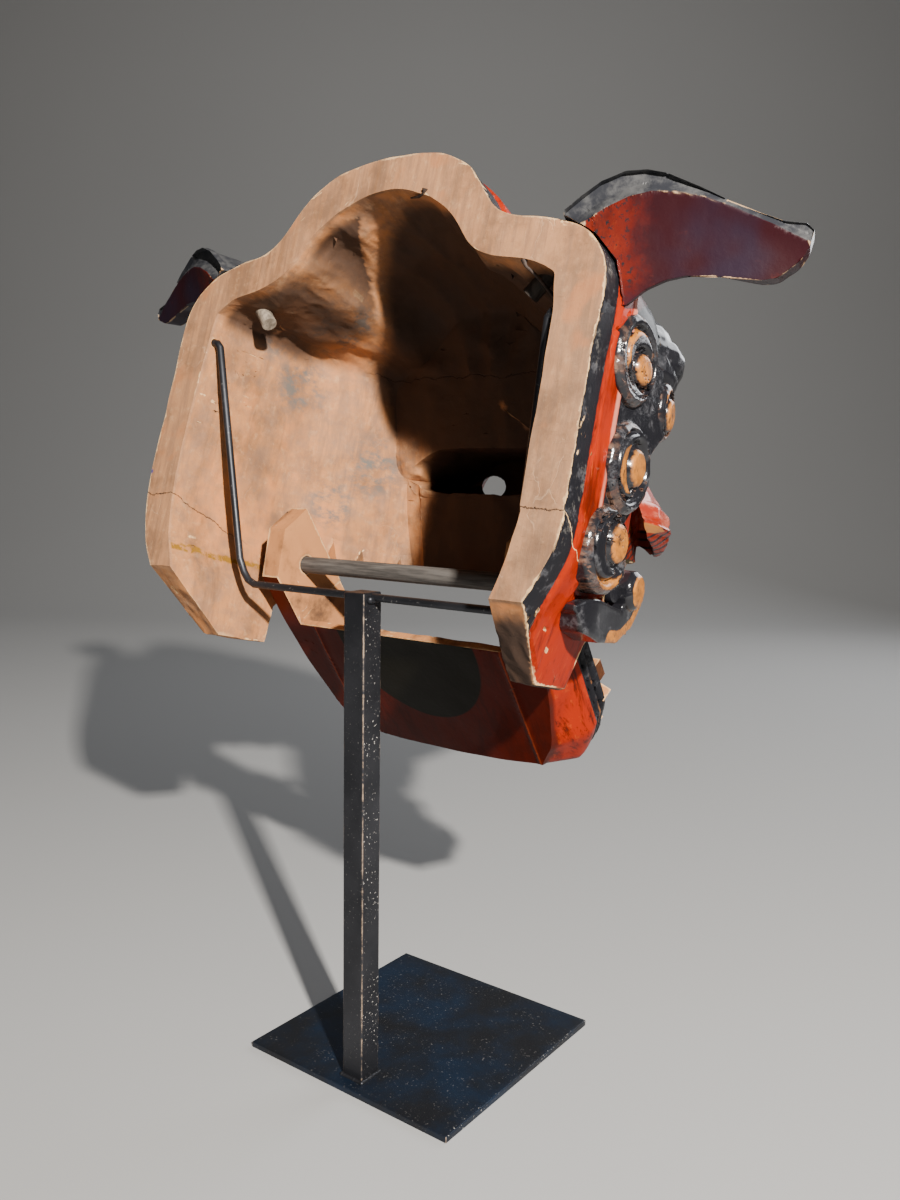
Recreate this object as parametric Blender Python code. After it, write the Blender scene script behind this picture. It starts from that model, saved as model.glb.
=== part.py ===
"""Lion dance head of carved, lacquered wood, on a plain steel stand.

The head faces -Y. It hangs on a bent rod, so it leans forward, and its jaw hangs open on a
wooden axle. The origin is the middle of the underside of the base plate. Metres, +Z up.
"""
import math

import bmesh
import bpy
from mathutils import Matrix, Vector

GAP = 0.0003                   # clearance between touching pieces
SHARP_ANGLE = math.radians(35.0)
AXIS_TURN = Matrix(((0, 0, 1, 0), (1, 0, 0, 0), (0, 1, 0, 0), (0, 0, 0, 1)))

# Stand
PLATE_SIDE = 0.200
PLATE_THICK = 0.005
POST_SIDE = 0.020
POST_TOP = 0.380
POST_Y = 0.0785
ROD_RADIUS = 0.003
ROD_LEVEL = 0.380
ROD_BEND_X = 0.131
ROD_TOP_X = 0.1535
ROD_TOP_Z = 0.5720
ROD_END_X = 0.1640

# Head: the middle of the rear rim's lower edge, and the forward lean
HEAD_POINT = (0.0, 0.1337, 0.3957)
HEAD_LEAN = math.radians(15.6)

# Half outlines of the rear rim, (x, z) from the crown down to the cheek
RIM_OUTER = [(0.0, 0.312), (0.035, 0.3095), (0.060, 0.303), (0.075, 0.291), (0.088, 0.278),
             (0.098, 0.262), (0.106, 0.254), (0.123, 0.250), (0.145, 0.246), (0.161, 0.240),
             (0.178, 0.231), (0.190, 0.217), (0.194, 0.197), (0.192, 0.150), (0.192, 0.100),
             (0.192, 0.058), (0.188, 0.028), (0.1735, 0.0), (0.160, -0.060)]
RIM_INNER = [(0.0, 0.287), (0.018, 0.284), (0.036, 0.279), (0.051, 0.272), (0.062, 0.264),
             (0.073, 0.251), (0.083, 0.238), (0.096, 0.228), (0.115, 0.222), (0.132, 0.219),
             (0.148, 0.216), (0.157, 0.208), (0.160, 0.190), (0.161, 0.150), (0.161, 0.110),
             (0.161, 0.060), (0.158, 0.030), (0.149, 0.0), (0.141, -0.080)]
LEFT_SWELL = [0.0] * 13 + [0.003, 0.006, 0.006, 0.005, 0.002, 0.0]
LEFT_OFFSET = 0.005            # the relief on the left stands that much further out
SHOULDER_Z = 0.240             # the hump rises above this level
FLANK_Z = 0.150                # the walls keep their height below this level

# Depth stations of the outside: (y, width, shoulder height, hump height), the last three as shares
OUTER_STATIONS = [(0.0, 1.0, 1.0, 1.0), (-0.022, 0.996, 1.0, 0.92), (-0.060, 0.980, 1.0, 0.76),
                  (-0.105, 0.945, 0.99, 0.58), (-0.130, 0.885, 0.97, 0.48),
                  (-0.150, 0.815, 0.95, 0.38), (-0.175, 0.735, 0.90, 0.25),
                  (-0.200, 0.655, 0.80, 0.10), (-0.214, 0.605, 0.66, 0.0)]
# Muzzle stations: (y, half width, top, edge radius)
MUZZLE_STATIONS = [(-0.226, 0.114, 0.192, 0.064), (-0.262, 0.111, 0.180, 0.060),
                   (-0.300, 0.108, 0.156, 0.050), (-0.322, 0.103, 0.122, 0.032)]
MUZZLE_FOOT = -0.060
INNER_STATIONS = [(0.030, 1.0, 1.0, 1.0), (0.0, 1.0, 1.0, 1.0), (-0.060, 0.975, 1.0, 0.90),
                  (-0.115, 0.945, 0.99, 0.72)]
FRONT_WALL_Y = -0.166          # inside of the front wall, at FRONT_WALL_Z
FRONT_WALL_Z = 0.213
FRONT_WALL_SLOPE = 0.37
FRONT_WALL_WIDTH = 0.66
# Lower edge of the head, (y, z) from the rear rim forward
LOWER_EDGE = [(0.040, 0.0185), (0.0, 0.0), (-0.054, -0.045), (-0.101, -0.043), (-0.106, -0.012),
              (-0.146, 0.015), (-0.152, 0.040), (-0.232, 0.044), (-0.243, 0.068), (-0.400, 0.107)]
# Gaps between the upper teeth, (y, z) at the top of each
NOTCHES = [(-0.160, 0.0605), (-0.187, 0.0575), (-0.214, 0.0570)]
NOTCH_HALF = 0.0085
NOTCH_FOOT = 0.030
# Hollow of the nose: half outline (x, z) at the mouth, then depths (y, rise, width share)
NOSE_HOLLOW = [(0.0, 0.149), (0.066, 0.149), (0.095, 0.139), (0.130, 0.121), (0.095, 0.109),
               (0.0, 0.109)]
NOSE_HOLLOW_DEPTHS = [(-0.150, 0.0, 1.0), (-0.262, 0.014, 0.60)]
NOSTRIL_RADIUS = 0.0122
NOSTRIL_POINT = (0.0687, -0.190, 0.458)
NOSTRIL_AIM = (0.565, -0.826, -0.012)

# Nose stations: (y, half width, top, foot)
NOSE_STATIONS = [(-0.258, 0.106, 0.166, 0.106), (-0.290, 0.115, 0.172, 0.096),
                 (-0.318, 0.114, 0.168, 0.094), (-0.336, 0.098, 0.155, 0.098),
                 (-0.346, 0.064, 0.142, 0.108)]
NOSE_ROUNDING = 0.75

# Brow over each eye, with the eyeball in it
BROW_CENTRE = (0.116, -0.188, 0.218)
BROW_RADII = (0.044, 0.046, 0.039)
EYE_CENTRE = (0.110, -0.213, 0.208)
EYE_RADIUS = 0.028

# Curls on each cheek: (y, z, radius, outer face x, yaw in degrees)
CURLS = [(-0.055, 0.169, 0.0295, 0.1970, 2.0), (-0.122, 0.157, 0.0200, 0.1900, 15.0),
         (-0.070, 0.102, 0.0300, 0.1965, 3.0), (-0.058, 0.046, 0.0290, 0.1965, 2.0)]
CURL_BACKING = [(-0.042, 0.180), (-0.100, 0.180), (-0.118, 0.140), (-0.084, 0.100),
                (-0.078, 0.040), (-0.040, 0.040)]
CURL_BACKING_X = 0.1905
CURL_ROOT_X = 0.160
CURL_BEVEL = 0.004
BOSS_DEPTH = 0.034
# Scroll at the corner of the mouth, (y, z), with its knob
SCROLL = [(-0.031, 0.0135), (-0.060, -0.008), (-0.084, -0.011), (-0.112, -0.007),
          (-0.136, 0.0070), (-0.149, 0.026), (-0.138, 0.044), (-0.118, 0.040),
          (-0.113, 0.0160), (-0.062, 0.0160)]
SCROLL_ROOT_X = 0.145
SCROLL_FACE_X = 0.1910         # at the rear end of the scroll
SCROLL_TAPER = 0.105
KNOB = (-0.124, 0.031, 0.0140, 0.1880, 8.0)

# Jaw axle, and the jaw about it: x across, y back along the floor, z up from the floor
AXLE_Y, AXLE_Z = 0.027, 0.393
AXLE_RADIUS = 0.0070
AXLE_HALF = 0.1800
JAW_OPEN = math.radians(57.2)
JAW_TOP = [(0.127, 0.039), (0.127, -0.038), (0.127, -0.090), (0.126, -0.134), (0.109, -0.171),
           (0.065, -0.190), (0.0, -0.197)]
JAW_MIDDLE = [(0.127, 0.039), (0.127, -0.038), (0.127, -0.085), (0.1265, -0.140),
              (0.107, -0.172), (0.060, -0.184), (0.0, -0.187)]
JAW_FOOT = [(0.126, 0.011), (0.126, -0.037), (0.122, -0.078), (0.109, -0.129),
            (0.093, -0.154), (0.050, -0.158), (0.0, -0.159)]
JAW_LEVELS = (-0.033, -0.004, 0.026)
JAW_HOLLOW = [(0.109, -0.036), (0.109, -0.085), (0.107, -0.122), (0.090, -0.140),
              (0.055, -0.145), (0.0, -0.147)]
JAW_FLOOR = 0.0065
JAW_ARM_INNER = 0.1085
JAW_TEETH = [(0.1200, -0.106), (0.1180, -0.133), (0.1020, -0.164), (0.0790, -0.176),
             (0.0520, -0.184), (0.0230, -0.188)]
TOOTH_SIZE = (0.0150, 0.0110, 0.0140)

# Ear: outline of its rear face, (out along the ear, height), from the worn inner corner
EAR_ROOT = (0.1600, 0.0740)
EAR_SWEEP = math.radians(18.0)
EAR_OUTLINE = [(0.000, 0.634), (0.0095, 0.641), (0.022, 0.649), (0.037, 0.654), (0.050, 0.654),
               (0.062, 0.651), (0.081, 0.642), (0.098, 0.633), (0.116, 0.625), (0.131, 0.619),
               (0.143, 0.617), (0.147, 0.613), (0.145, 0.604), (0.140, 0.596), (0.128, 0.587),
               (0.119, 0.586), (0.095, 0.589), (0.076, 0.590), (0.064, 0.588), (0.052, 0.583),
               (0.040, 0.574), (0.020, 0.574), (-0.004, 0.600)]
EAR_DEPTH = (0.038, 0.014)
EAR_FRONT_DROP = 0.007
EAR_FOOT_RISE = 0.75            # the lower side rises forwards, as a share of the spare depth
EAR_TIP_DEPTH = {"left": 0.60, "right": 1.0}
EAR_LOWER = 12                 # first point of the lower outline
EAR_CREST = (0.050, 0.654, -0.37)
EAR_LENGTH = 0.147
EAR_CLEARANCE = 0.0020
PEG_FOOT = (0.1235, -0.026, 0.2062)
PEG_ANGLE = math.radians(42.0)
PEG_LENGTH = 0.066
PEG_RADIUS = 0.0060
PEG_PIVOT = 0.040


def clear_scene():
    for item in list(bpy.data.objects):
        bpy.data.objects.remove(item, do_unlink=True)


def make_collection(name):
    group = bpy.data.collections.new(name)
    bpy.context.scene.collection.children.link(group)
    return group


def make_material(name, colour, roughness, metallic=0.0):
    material = bpy.data.materials.new(name)
    material.use_nodes = True
    shader = material.node_tree.nodes["Principled BSDF"]
    shader.inputs["Base Color"].default_value = (*colour, 1.0)
    shader.inputs["Roughness"].default_value = roughness
    shader.inputs["Metallic"].default_value = metallic
    return material


def solid(bm, name, group, material=None, parent=None, smooth=False):
    """Make an object of a closed mesh, with its faces outwards."""
    bmesh.ops.recalc_face_normals(bm, faces=bm.faces)
    mesh = bpy.data.meshes.new(name)
    bm.to_mesh(mesh)
    bm.free()
    if smooth:
        mesh.shade_smooth()
        mesh.set_sharp_from_angle(angle=SHARP_ANGLE)
    item = bpy.data.objects.new(name, mesh)
    group.objects.link(item)
    if material:
        mesh.materials.append(material)
    item.parent = parent
    return item


def loft(name, rings, group, material=None, parent=None):
    """Close a solid through rings of equal length, with a flat cap on each end."""
    bm = bmesh.new()
    rows = [[bm.verts.new(point) for point in ring] for ring in rings]
    for lower, upper in zip(rows, rows[1:]):
        for i in range(len(lower)):
            bm.faces.new((lower[i - 1], lower[i], upper[i], upper[i - 1]))
    bm.faces.new(rows[0])
    bm.faces.new(list(reversed(rows[-1])))
    bm.normal_update()
    bmesh.ops.triangulate(bm, faces=bm.faces)
    return solid(bm, name, group, material, parent)


def welded_curve(curve, name, group):
    """Closed mesh of a curve's shape, with the curve itself removed."""
    item = bpy.data.objects.new(name, curve)
    group.objects.link(item)
    bpy.context.view_layer.update()
    graph = bpy.context.evaluated_depsgraph_get()
    mesh = bpy.data.meshes.new_from_object(item.evaluated_get(graph))
    bm = bmesh.new()
    bm.from_mesh(mesh)
    bpy.data.meshes.remove(mesh)
    bmesh.ops.transform(bm, matrix=item.matrix_world, verts=bm.verts)
    bpy.data.objects.remove(item, do_unlink=True)
    bmesh.ops.remove_doubles(bm, verts=bm.verts, dist=0.00001)
    return bm


def prism(name, outline, low, high, axis, group, material=None, parent=None):
    """Extrude a flat outline along X or Z between two levels."""
    curve = bpy.data.curves.new(name, "CURVE")
    curve.dimensions = "2D"
    curve.fill_mode = "BOTH"
    curve.extrude = (high - low) / 2
    spline = curve.splines.new("POLY")
    spline.use_cyclic_u = True
    spline.points.add(len(outline) - 1)
    for knot, (a, b) in zip(spline.points, outline):
        knot.co = (a, b, 0.0, 1.0)
    bm = welded_curve(curve, name, group)
    turn = AXIS_TURN if axis == "x" else Matrix.Identity(4)
    place = turn @ Matrix.Translation((0.0, 0.0, (low + high) / 2))
    bmesh.ops.transform(bm, matrix=place, verts=bm.verts)
    return solid(bm, name, group, material, parent)


def box(name, centre, size, group, material=None, parent=None, spin=0.0):
    bm = bmesh.new()
    place = Matrix.Translation(centre) @ Matrix.Rotation(spin, 4, "Z")
    bmesh.ops.create_cube(bm, size=1.0, matrix=place @ Matrix.Diagonal((*size, 1.0)))
    return solid(bm, name, group, material, parent)


def mirrored(half, swell=None):
    """Full ring from a half outline, with the half on the left side swollen outwards."""
    opposite = [(-x, b) for x, b in reversed(half) if x > 1e-6]
    near = [(x + extra, b) for (x, b), extra in zip(half, swell)] if swell else list(half)
    return near + opposite


def round_bar(name, start, end, radius, sides, group, material=None, parent=None, bevel=0.0):
    """Cylinder between two points, with the edge of its far end bevelled if asked."""
    start, end = Vector(start), Vector(end)
    bm = bmesh.new()
    bmesh.ops.create_cone(bm, cap_ends=True, segments=sides, radius1=radius, radius2=radius,
                          depth=(end - start).length)
    if bevel:
        rim = [edge for edge in bm.edges if all(vert.co.z > 0.0 for vert in edge.verts)]
        bmesh.ops.bevel(bm, geom=rim, offset=bevel, segments=1, affect="EDGES")
    turn = (end - start).to_track_quat("Z", "Y").to_matrix().to_4x4()
    bmesh.ops.transform(bm, matrix=Matrix.Translation((start + end) / 2) @ turn, verts=bm.verts)
    return solid(bm, name, group, material, parent, smooth=True)


def ball(name, centre, radii, segments, rings, group, material=None, parent=None):
    bm = bmesh.new()
    bmesh.ops.create_uvsphere(bm, u_segments=segments, v_segments=rings, radius=1.0)
    scale = Matrix.Diagonal((*radii, 1.0))
    bmesh.ops.transform(bm, matrix=Matrix.Translation(centre) @ scale, verts=bm.verts)
    return solid(bm, name, group, material, parent, smooth=True)


def hide_cutter(item):
    item.hide_render = True
    item.display_type = "WIRE"


def combine(item, other, operation):
    modifier = item.modifiers.new(operation.title() + " " + other.name, "BOOLEAN")
    modifier.operation = operation
    modifier.solver = "EXACT"
    modifier.object = other
    hide_cutter(other)


def cut(item, *cutters):
    for cutter in cutters:
        combine(item, cutter, "DIFFERENCE")


def join(item, *others):
    for other in others:
        combine(item, other, "UNION")


def grown(source, name, gap, group):
    """Copy a solid and move its skin outwards by a gap."""
    bm = bmesh.new()
    bm.from_mesh(source.data)
    bm.normal_update()
    moves = [(v, v.normal * gap * v.calc_shell_factor()) for v in bm.verts]
    for vert, step in moves:
        vert.co += step
    mesh = bpy.data.meshes.new(name)
    bm.to_mesh(mesh)
    bm.free()
    item = bpy.data.objects.new(name, mesh)
    group.objects.link(item)
    item.parent = source.parent
    hide_cutter(item)
    return item


def scaled(x, z, width, shoulder, hump):
    """Move a point of the rim's outline to a depth station."""
    level = min(z, SHOULDER_Z)
    if level > FLANK_Z:
        level = FLANK_Z + (level - FLANK_Z) * shoulder
    level += max(z - SHOULDER_Z, 0.0) * hump
    return x * width, level


def head_ring(half, y, width, shoulder, hump):
    """Ring of the head at one depth, from the rim's half outline."""
    points = [scaled(x, z, width, shoulder, hump) for x, z in half]
    swell = [extra * width for extra in LEFT_SWELL]
    return [(x, y, z) for x, z in mirrored(points, swell)]


def muzzle_ring(y, half_width, top, radius):
    """Ring with as many points as the rim: top, rounded edge, side."""
    points = [((half_width - radius) * i / 8, top) for i in range(8)]
    for i in range(6):
        angle = math.radians(90 - 18 * i)
        points.append((half_width - radius + radius * math.cos(angle),
                       top - radius + radius * math.sin(angle)))
    side_top = top - radius
    for share in (0.2, 0.4, 0.6, 0.8, 1.0):
        points.append((half_width, side_top + (MUZZLE_FOOT - side_top) * share))
    return [(x, y, z) for x, z in mirrored(points)]


def build_outer_head(name, group, material, parent):
    rings = [head_ring(RIM_OUTER, *station) for station in OUTER_STATIONS]
    rings += [muzzle_ring(*station) for station in MUZZLE_STATIONS]
    return loft(name, rings, group, material, parent)


def build_cavity(group, parent):
    rings = [head_ring(RIM_INNER, *station) for station in INNER_STATIONS]
    last = []
    for x, _, z in head_ring(RIM_INNER, 0.0, FRONT_WALL_WIDTH, 0.96, 0.50):
        last.append((x, FRONT_WALL_Y + FRONT_WALL_SLOPE * (z - FRONT_WALL_Z), z))
    rings.append(last)
    return loft("cavity_cutter", rings, group, None, parent)


def build_head(parts, cutters, lean, wood):
    head = build_outer_head("head_shell", parts, wood, lean)
    skin = grown(head, "head_skin_cutter", GAP, cutters)
    cavity = build_cavity(cutters, lean)
    foot = LOWER_EDGE + [(-0.400, -0.120), (0.040, -0.120)]
    below = prism("below_cutter", foot, -0.25, 0.25, "x", cutters, None, lean)
    rings = [[(x * share, y, z + rise) for x, z in mirrored(NOSE_HOLLOW)]
             for y, rise, share in NOSE_HOLLOW_DEPTHS]
    hollow = loft("nose_hollow_cutter", rings, cutters, None, lean)
    cut(head, below, cavity, hollow)
    for index, (y, top) in enumerate(NOTCHES):
        shape = [(y - NOTCH_HALF, NOTCH_FOOT), (y + NOTCH_HALF, NOTCH_FOOT), (y, top)]
        notch = prism("notch_cutter_%d" % index, shape, -0.25, 0.25, "x", cutters, None, lean)
        cut(head, notch)
    bore = round_bar("axle_bore_cutter", (-0.25, AXLE_Y, AXLE_Z), (0.25, AXLE_Y, AXLE_Z),
                     AXLE_RADIUS + 1.2 * GAP, 24, cutters)
    cut(head, bore)
    for side in (1, -1):
        hole = round_bar("rod_hole_cutter_%d" % side, (side * 0.120, POST_Y, ROD_TOP_Z),
                         (side * (ROD_END_X + GAP), POST_Y, ROD_TOP_Z),
                         ROD_RADIUS + 1.3 * GAP, 16, cutters)
        start = peg_point(side, -0.02)
        end = peg_point(side, PEG_LENGTH + 0.02)
        peg_hole = round_bar("peg_hole_cutter_%d" % side, start, end, PEG_RADIUS + 1.2 * GAP, 20,
                             cutters, None, lean)
        cut(head, hole, peg_hole)
    return head, skin, bore


def build_ear_seat(side, label, cutters, lean):
    """Shoulder of the head with the clearance that lets the ear turn above it."""
    corner = RIM_OUTER[6:15] + [(0.120, 0.100)]
    stations = [(0.040, *OUTER_STATIONS[0][1:])] + OUTER_STATIONS[1:4]
    rings = []
    for y, width, shoulder, hump in stations:
        ring = [scaled(x, z, width, shoulder, hump) for x, z in corner]
        rings.append([(side * x, y, z) for x, z in ring])
    seat = loft("ear_seat_core_" + label, rings, cutters, None, lean)
    hide_cutter(seat)
    return grown(seat, "ear_seat_cutter_" + label, EAR_CLEARANCE, cutters)


def build_nostrils(cutters):
    bores = []
    for side in (1, -1):
        point = Vector((side * NOSTRIL_POINT[0], *NOSTRIL_POINT[1:]))
        aim = Vector((side * NOSTRIL_AIM[0], *NOSTRIL_AIM[1:]))
        bores.append(round_bar("nostril_cutter_%d" % side, point - aim * 0.060,
                               point + aim * 0.080, NOSTRIL_RADIUS, 20, cutters))
    return bores


def build_nose(parts, cutters, lean, skin, bores, red):
    rings = []
    for y, half, top, foot in NOSE_STATIONS:
        middle, rise = (top + foot) / 2, (top - foot) / 2
        ring = []
        for i in range(20):
            angle = math.radians(18 * i)
            c, s = math.cos(angle), math.sin(angle)
            ring.append((half * math.copysign(abs(c) ** NOSE_ROUNDING, c), y,
                         middle + rise * math.copysign(abs(s) ** NOSE_ROUNDING, s)))
        rings.append(ring)
    nose = loft("nose", rings, parts, red, lean)
    cut(nose, skin, *bores)
    return nose


def build_brow(side, label, parts, cutters, lean, skin, black):
    centre = (side * BROW_CENTRE[0], *BROW_CENTRE[1:])
    brow = ball("brow_" + label, centre, BROW_RADII, 20, 12, parts, black, lean)
    eye_centre = (side * EYE_CENTRE[0], *EYE_CENTRE[1:])
    eye = ball("eyeball_shape_" + label, eye_centre, (EYE_RADIUS,) * 3, 16, 10, cutters, None, lean)
    join(brow, eye)
    cut(brow, skin)
    return brow


def swell_of(side):
    return LEFT_OFFSET if side > 0 else 0.0


def drum(name, side, sizes, group, parent):
    """Round boss on a cheek, with a bevelled outer face."""
    y, z, radius, face, yaw = sizes
    turn = math.radians(yaw)
    out = Vector((side * math.cos(turn), -math.sin(turn), 0.0))
    top = Vector((side * (face + swell_of(side)), y, z))
    return round_bar(name, top - out * BOSS_DEPTH, top, radius, 18, group, None, parent,
                     bevel=CURL_BEVEL)


def build_curls(side, label, parts, cutters, lean, skin, black):
    outline = [(y, z) for y, z in CURL_BACKING]
    near, far = side * CURL_ROOT_X, side * (CURL_BACKING_X + swell_of(side))
    item = prism("curls_" + label, outline, min(near, far), max(near, far), "x", parts, black, lean)
    for index, sizes in enumerate(CURLS):
        join(item, drum("curl_shape_%s_%d" % (label, index), side, sizes, cutters, lean))
    cut(item, skin)
    return item


def build_scroll(side, label, parts, cutters, lean, clearances, black):
    rear = SCROLL[0][0]
    root = [(side * SCROLL_ROOT_X, y, z) for y, z in SCROLL]
    outer = SCROLL_FACE_X + swell_of(side)
    face = [(side * (outer + SCROLL_TAPER * (y - rear)), y, z) for y, z in SCROLL]
    item = loft("scroll_" + label, [root, face], parts, black, lean)
    knob = drum("knob_shape_" + label, side, KNOB, cutters, lean)
    join(item, knob)
    cut(item, *clearances)
    return item


def build_jaw(parts, cutters, pivot, wood):
    low, middle, high = JAW_LEVELS
    rings = [[(x, y, level) for x, y in mirrored(half)]
             for half, level in ((JAW_FOOT, low), (JAW_MIDDLE, middle), (JAW_TOP, high))]
    jaw = loft("jaw", rings, parts, wood, pivot)
    for index, (x, y) in enumerate(JAW_TEETH):
        turn = math.atan2(x / 0.119, -y / 0.190) if index else math.pi / 2
        for side in (1, -1):
            block = box("tooth_shape_%d_%d" % (index, side), (side * x, y, high + 0.003),
                        TOOTH_SIZE, cutters, None, pivot, spin=side * turn)
            join(jaw, block)
    hollow = prism("jaw_hollow_cutter", mirrored(JAW_HOLLOW), low + JAW_FLOOR, 0.060, "z", cutters,
                   None, pivot)
    throat = prism("jaw_throat_cutter",
                   [(JAW_ARM_INNER, -0.038), (JAW_ARM_INNER, 0.080),
                    (-JAW_ARM_INNER, 0.080), (-JAW_ARM_INNER, -0.038)],
                   -0.060, 0.060, "z", cutters, None, pivot)
    bore = round_bar("jaw_bore_cutter", (-0.25, 0.0, 0.0), (0.25, 0.0, 0.0),
                     AXLE_RADIUS + 1.6 * GAP, 24, cutters, None, pivot)
    cut(jaw, hollow, throat, bore)
    return jaw


def peg_point(side, distance):
    return (side * (PEG_FOOT[0] + distance * math.sin(PEG_ANGLE)), PEG_FOOT[1],
            PEG_FOOT[2] + distance * math.cos(PEG_ANGLE))


def head_matrix():
    return Matrix.Translation(HEAD_POINT) @ Matrix.Rotation(HEAD_LEAN, 4, "X")


def build_ear(side, label, parts, cutters, seat, red):
    along = Vector((side * math.cos(EAR_SWEEP), -math.sin(EAR_SWEEP), 0.0))
    forward = Vector((-side * math.sin(EAR_SWEEP), -math.cos(EAR_SWEEP), 0.0))
    pivot = head_matrix() @ Vector(peg_point(side, PEG_PIVOT))
    root = Vector((side * EAR_ROOT[0], EAR_ROOT[1], 0.0))
    rear, front = [], []
    for index, (out, height) in enumerate(EAR_OUTLINE):
        share = min(max(out / EAR_LENGTH, 0.0), 1.0)
        if index >= EAR_LOWER and out > EAR_CREST[0]:
            crest = EAR_CREST[1] + EAR_CREST[2] * (out - EAR_CREST[0])
            height = crest + (height - crest) * EAR_TIP_DEPTH[label]
        point = root + along * out + Vector((0.0, 0.0, height))
        depth = EAR_DEPTH[0] + (EAR_DEPTH[1] - EAR_DEPTH[0]) * share
        rear.append(point - pivot)
        rise = EAR_FRONT_DROP * (share / 2 - 1.0)
        if index >= EAR_LOWER:
            rise = rise * share + EAR_FOOT_RISE * (depth - EAR_DEPTH[1])
        front.append(point + forward * depth + Vector((0.0, 0.0, rise)) - pivot)
    ear = loft("ear_" + label, [rear, front], parts, red)
    ear.location = pivot
    cut(ear, seat)
    matrix = head_matrix()
    peg = round_bar("peg_shape_" + label, matrix @ Vector(peg_point(side, 0.0)),
                    matrix @ Vector(peg_point(side, PEG_LENGTH)), PEG_RADIUS, 20, cutters)
    join(ear, peg)
    return ear


def build_stand(parts, cutters, steel):
    stand = box("display_stand", (0.0, 0.0, PLATE_THICK / 2),
                (PLATE_SIDE, PLATE_SIDE, PLATE_THICK), parts, steel)
    height = POST_TOP - PLATE_THICK / 2
    post = box("post_shape", (0.0, POST_Y, PLATE_THICK / 2 + height / 2),
               (POST_SIDE, POST_SIDE, height), cutters)
    route = [(ROD_END_X, ROD_TOP_Z), (ROD_TOP_X + 0.003, ROD_TOP_Z - 0.0005),
             (ROD_TOP_X, ROD_TOP_Z - 0.004), (ROD_BEND_X + 0.0020, ROD_LEVEL + 0.020),
             (ROD_BEND_X - 0.003, ROD_LEVEL + 0.009), (ROD_BEND_X - 0.008, ROD_LEVEL + 0.003),
             (ROD_BEND_X - 0.015, ROD_LEVEL)]
    points = route + [(-x, z) for x, z in reversed(route)]
    curve = bpy.data.curves.new("rod_curve", "CURVE")
    curve.dimensions = "3D"
    curve.bevel_depth = ROD_RADIUS
    curve.bevel_resolution = 2
    curve.use_fill_caps = True
    spline = curve.splines.new("POLY")
    spline.points.add(len(points) - 1)
    for knot, (x, z) in zip(spline.points, points):
        knot.co = (x, POST_Y, z, 1.0)
    rod = solid(welded_curve(curve, "rod_shape", cutters), "rod_shape", cutters, smooth=True)
    join(stand, post, rod)
    return stand


def main():
    clear_scene()
    parts = make_collection("lion_dance_head")
    cutters = make_collection("cutters")
    steel = make_material("blackened_steel", (0.035, 0.036, 0.042), 0.45, 0.6)
    wood = make_material("carved_wood", (0.42, 0.25, 0.15), 0.65)
    red = make_material("red_lacquer", (0.62, 0.09, 0.03), 0.35)
    black = make_material("black_lacquer", (0.020, 0.020, 0.022), 0.30)
    dowel = make_material("grey_dowel", (0.22, 0.21, 0.20), 0.70)

    lean = bpy.data.objects.new("head_lean", None)
    parts.objects.link(lean)
    lean.location = HEAD_POINT
    lean.rotation_euler = (HEAD_LEAN, 0.0, 0.0)
    hinge = bpy.data.objects.new("jaw_hinge", None)
    parts.objects.link(hinge)
    hinge.location = (0.0, AXLE_Y, AXLE_Z)
    hinge.rotation_euler = (JAW_OPEN, 0.0, 0.0)

    build_stand(parts, cutters, steel)
    head, skin, axle_bore = build_head(parts, cutters, lean, wood)
    bores = build_nostrils(cutters)
    cut(head, *bores)
    build_nose(parts, cutters, lean, skin, bores, red)
    for side, label in ((1, "left"), (-1, "right")):
        build_brow(side, label, parts, cutters, lean, skin, black)
        build_curls(side, label, parts, cutters, lean, skin, black)
        build_scroll(side, label, parts, cutters, lean, (skin, axle_bore), black)
        seat = build_ear_seat(side, label, cutters, lean)
        build_ear(side, label, parts, cutters, seat, red)
    round_bar("jaw_axle", (-AXLE_HALF, AXLE_Y, AXLE_Z), (AXLE_HALF, AXLE_Y, AXLE_Z), AXLE_RADIUS,
              24, parts, dowel)
    build_jaw(parts, cutters, hinge, wood)


main()
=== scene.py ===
"""Lion dance head on its stand, carved, lacquered and worn, around the fixed frame.

The head faces -Y and leans forward. "Local" places are measured from the middle of the rear
rim's lower edge, with y backwards and z up along the head. Metres throughout.
"""

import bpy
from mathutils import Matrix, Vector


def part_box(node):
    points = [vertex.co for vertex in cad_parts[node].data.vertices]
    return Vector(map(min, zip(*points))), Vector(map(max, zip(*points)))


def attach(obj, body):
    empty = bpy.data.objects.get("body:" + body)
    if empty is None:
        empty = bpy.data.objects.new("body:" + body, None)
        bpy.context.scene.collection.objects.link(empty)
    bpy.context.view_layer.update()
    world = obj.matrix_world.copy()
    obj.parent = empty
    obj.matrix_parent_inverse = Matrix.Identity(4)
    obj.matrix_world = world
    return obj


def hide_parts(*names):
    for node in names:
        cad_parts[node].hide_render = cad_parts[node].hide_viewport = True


bl_info = {
    "name": "Lion Dance Head",
    "version": (1, 0, 0),
    "blender": (4, 5, 0),
    "location": "3D View > Sidebar > Lion Head",
    "description": "Carves and lacquers a wooden lion dance head and its steel stand",
    "category": "Object",
}

import math

import bmesh
import bpy
import numpy as np
from mathutils import Matrix, Vector, kdtree, noise

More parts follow.
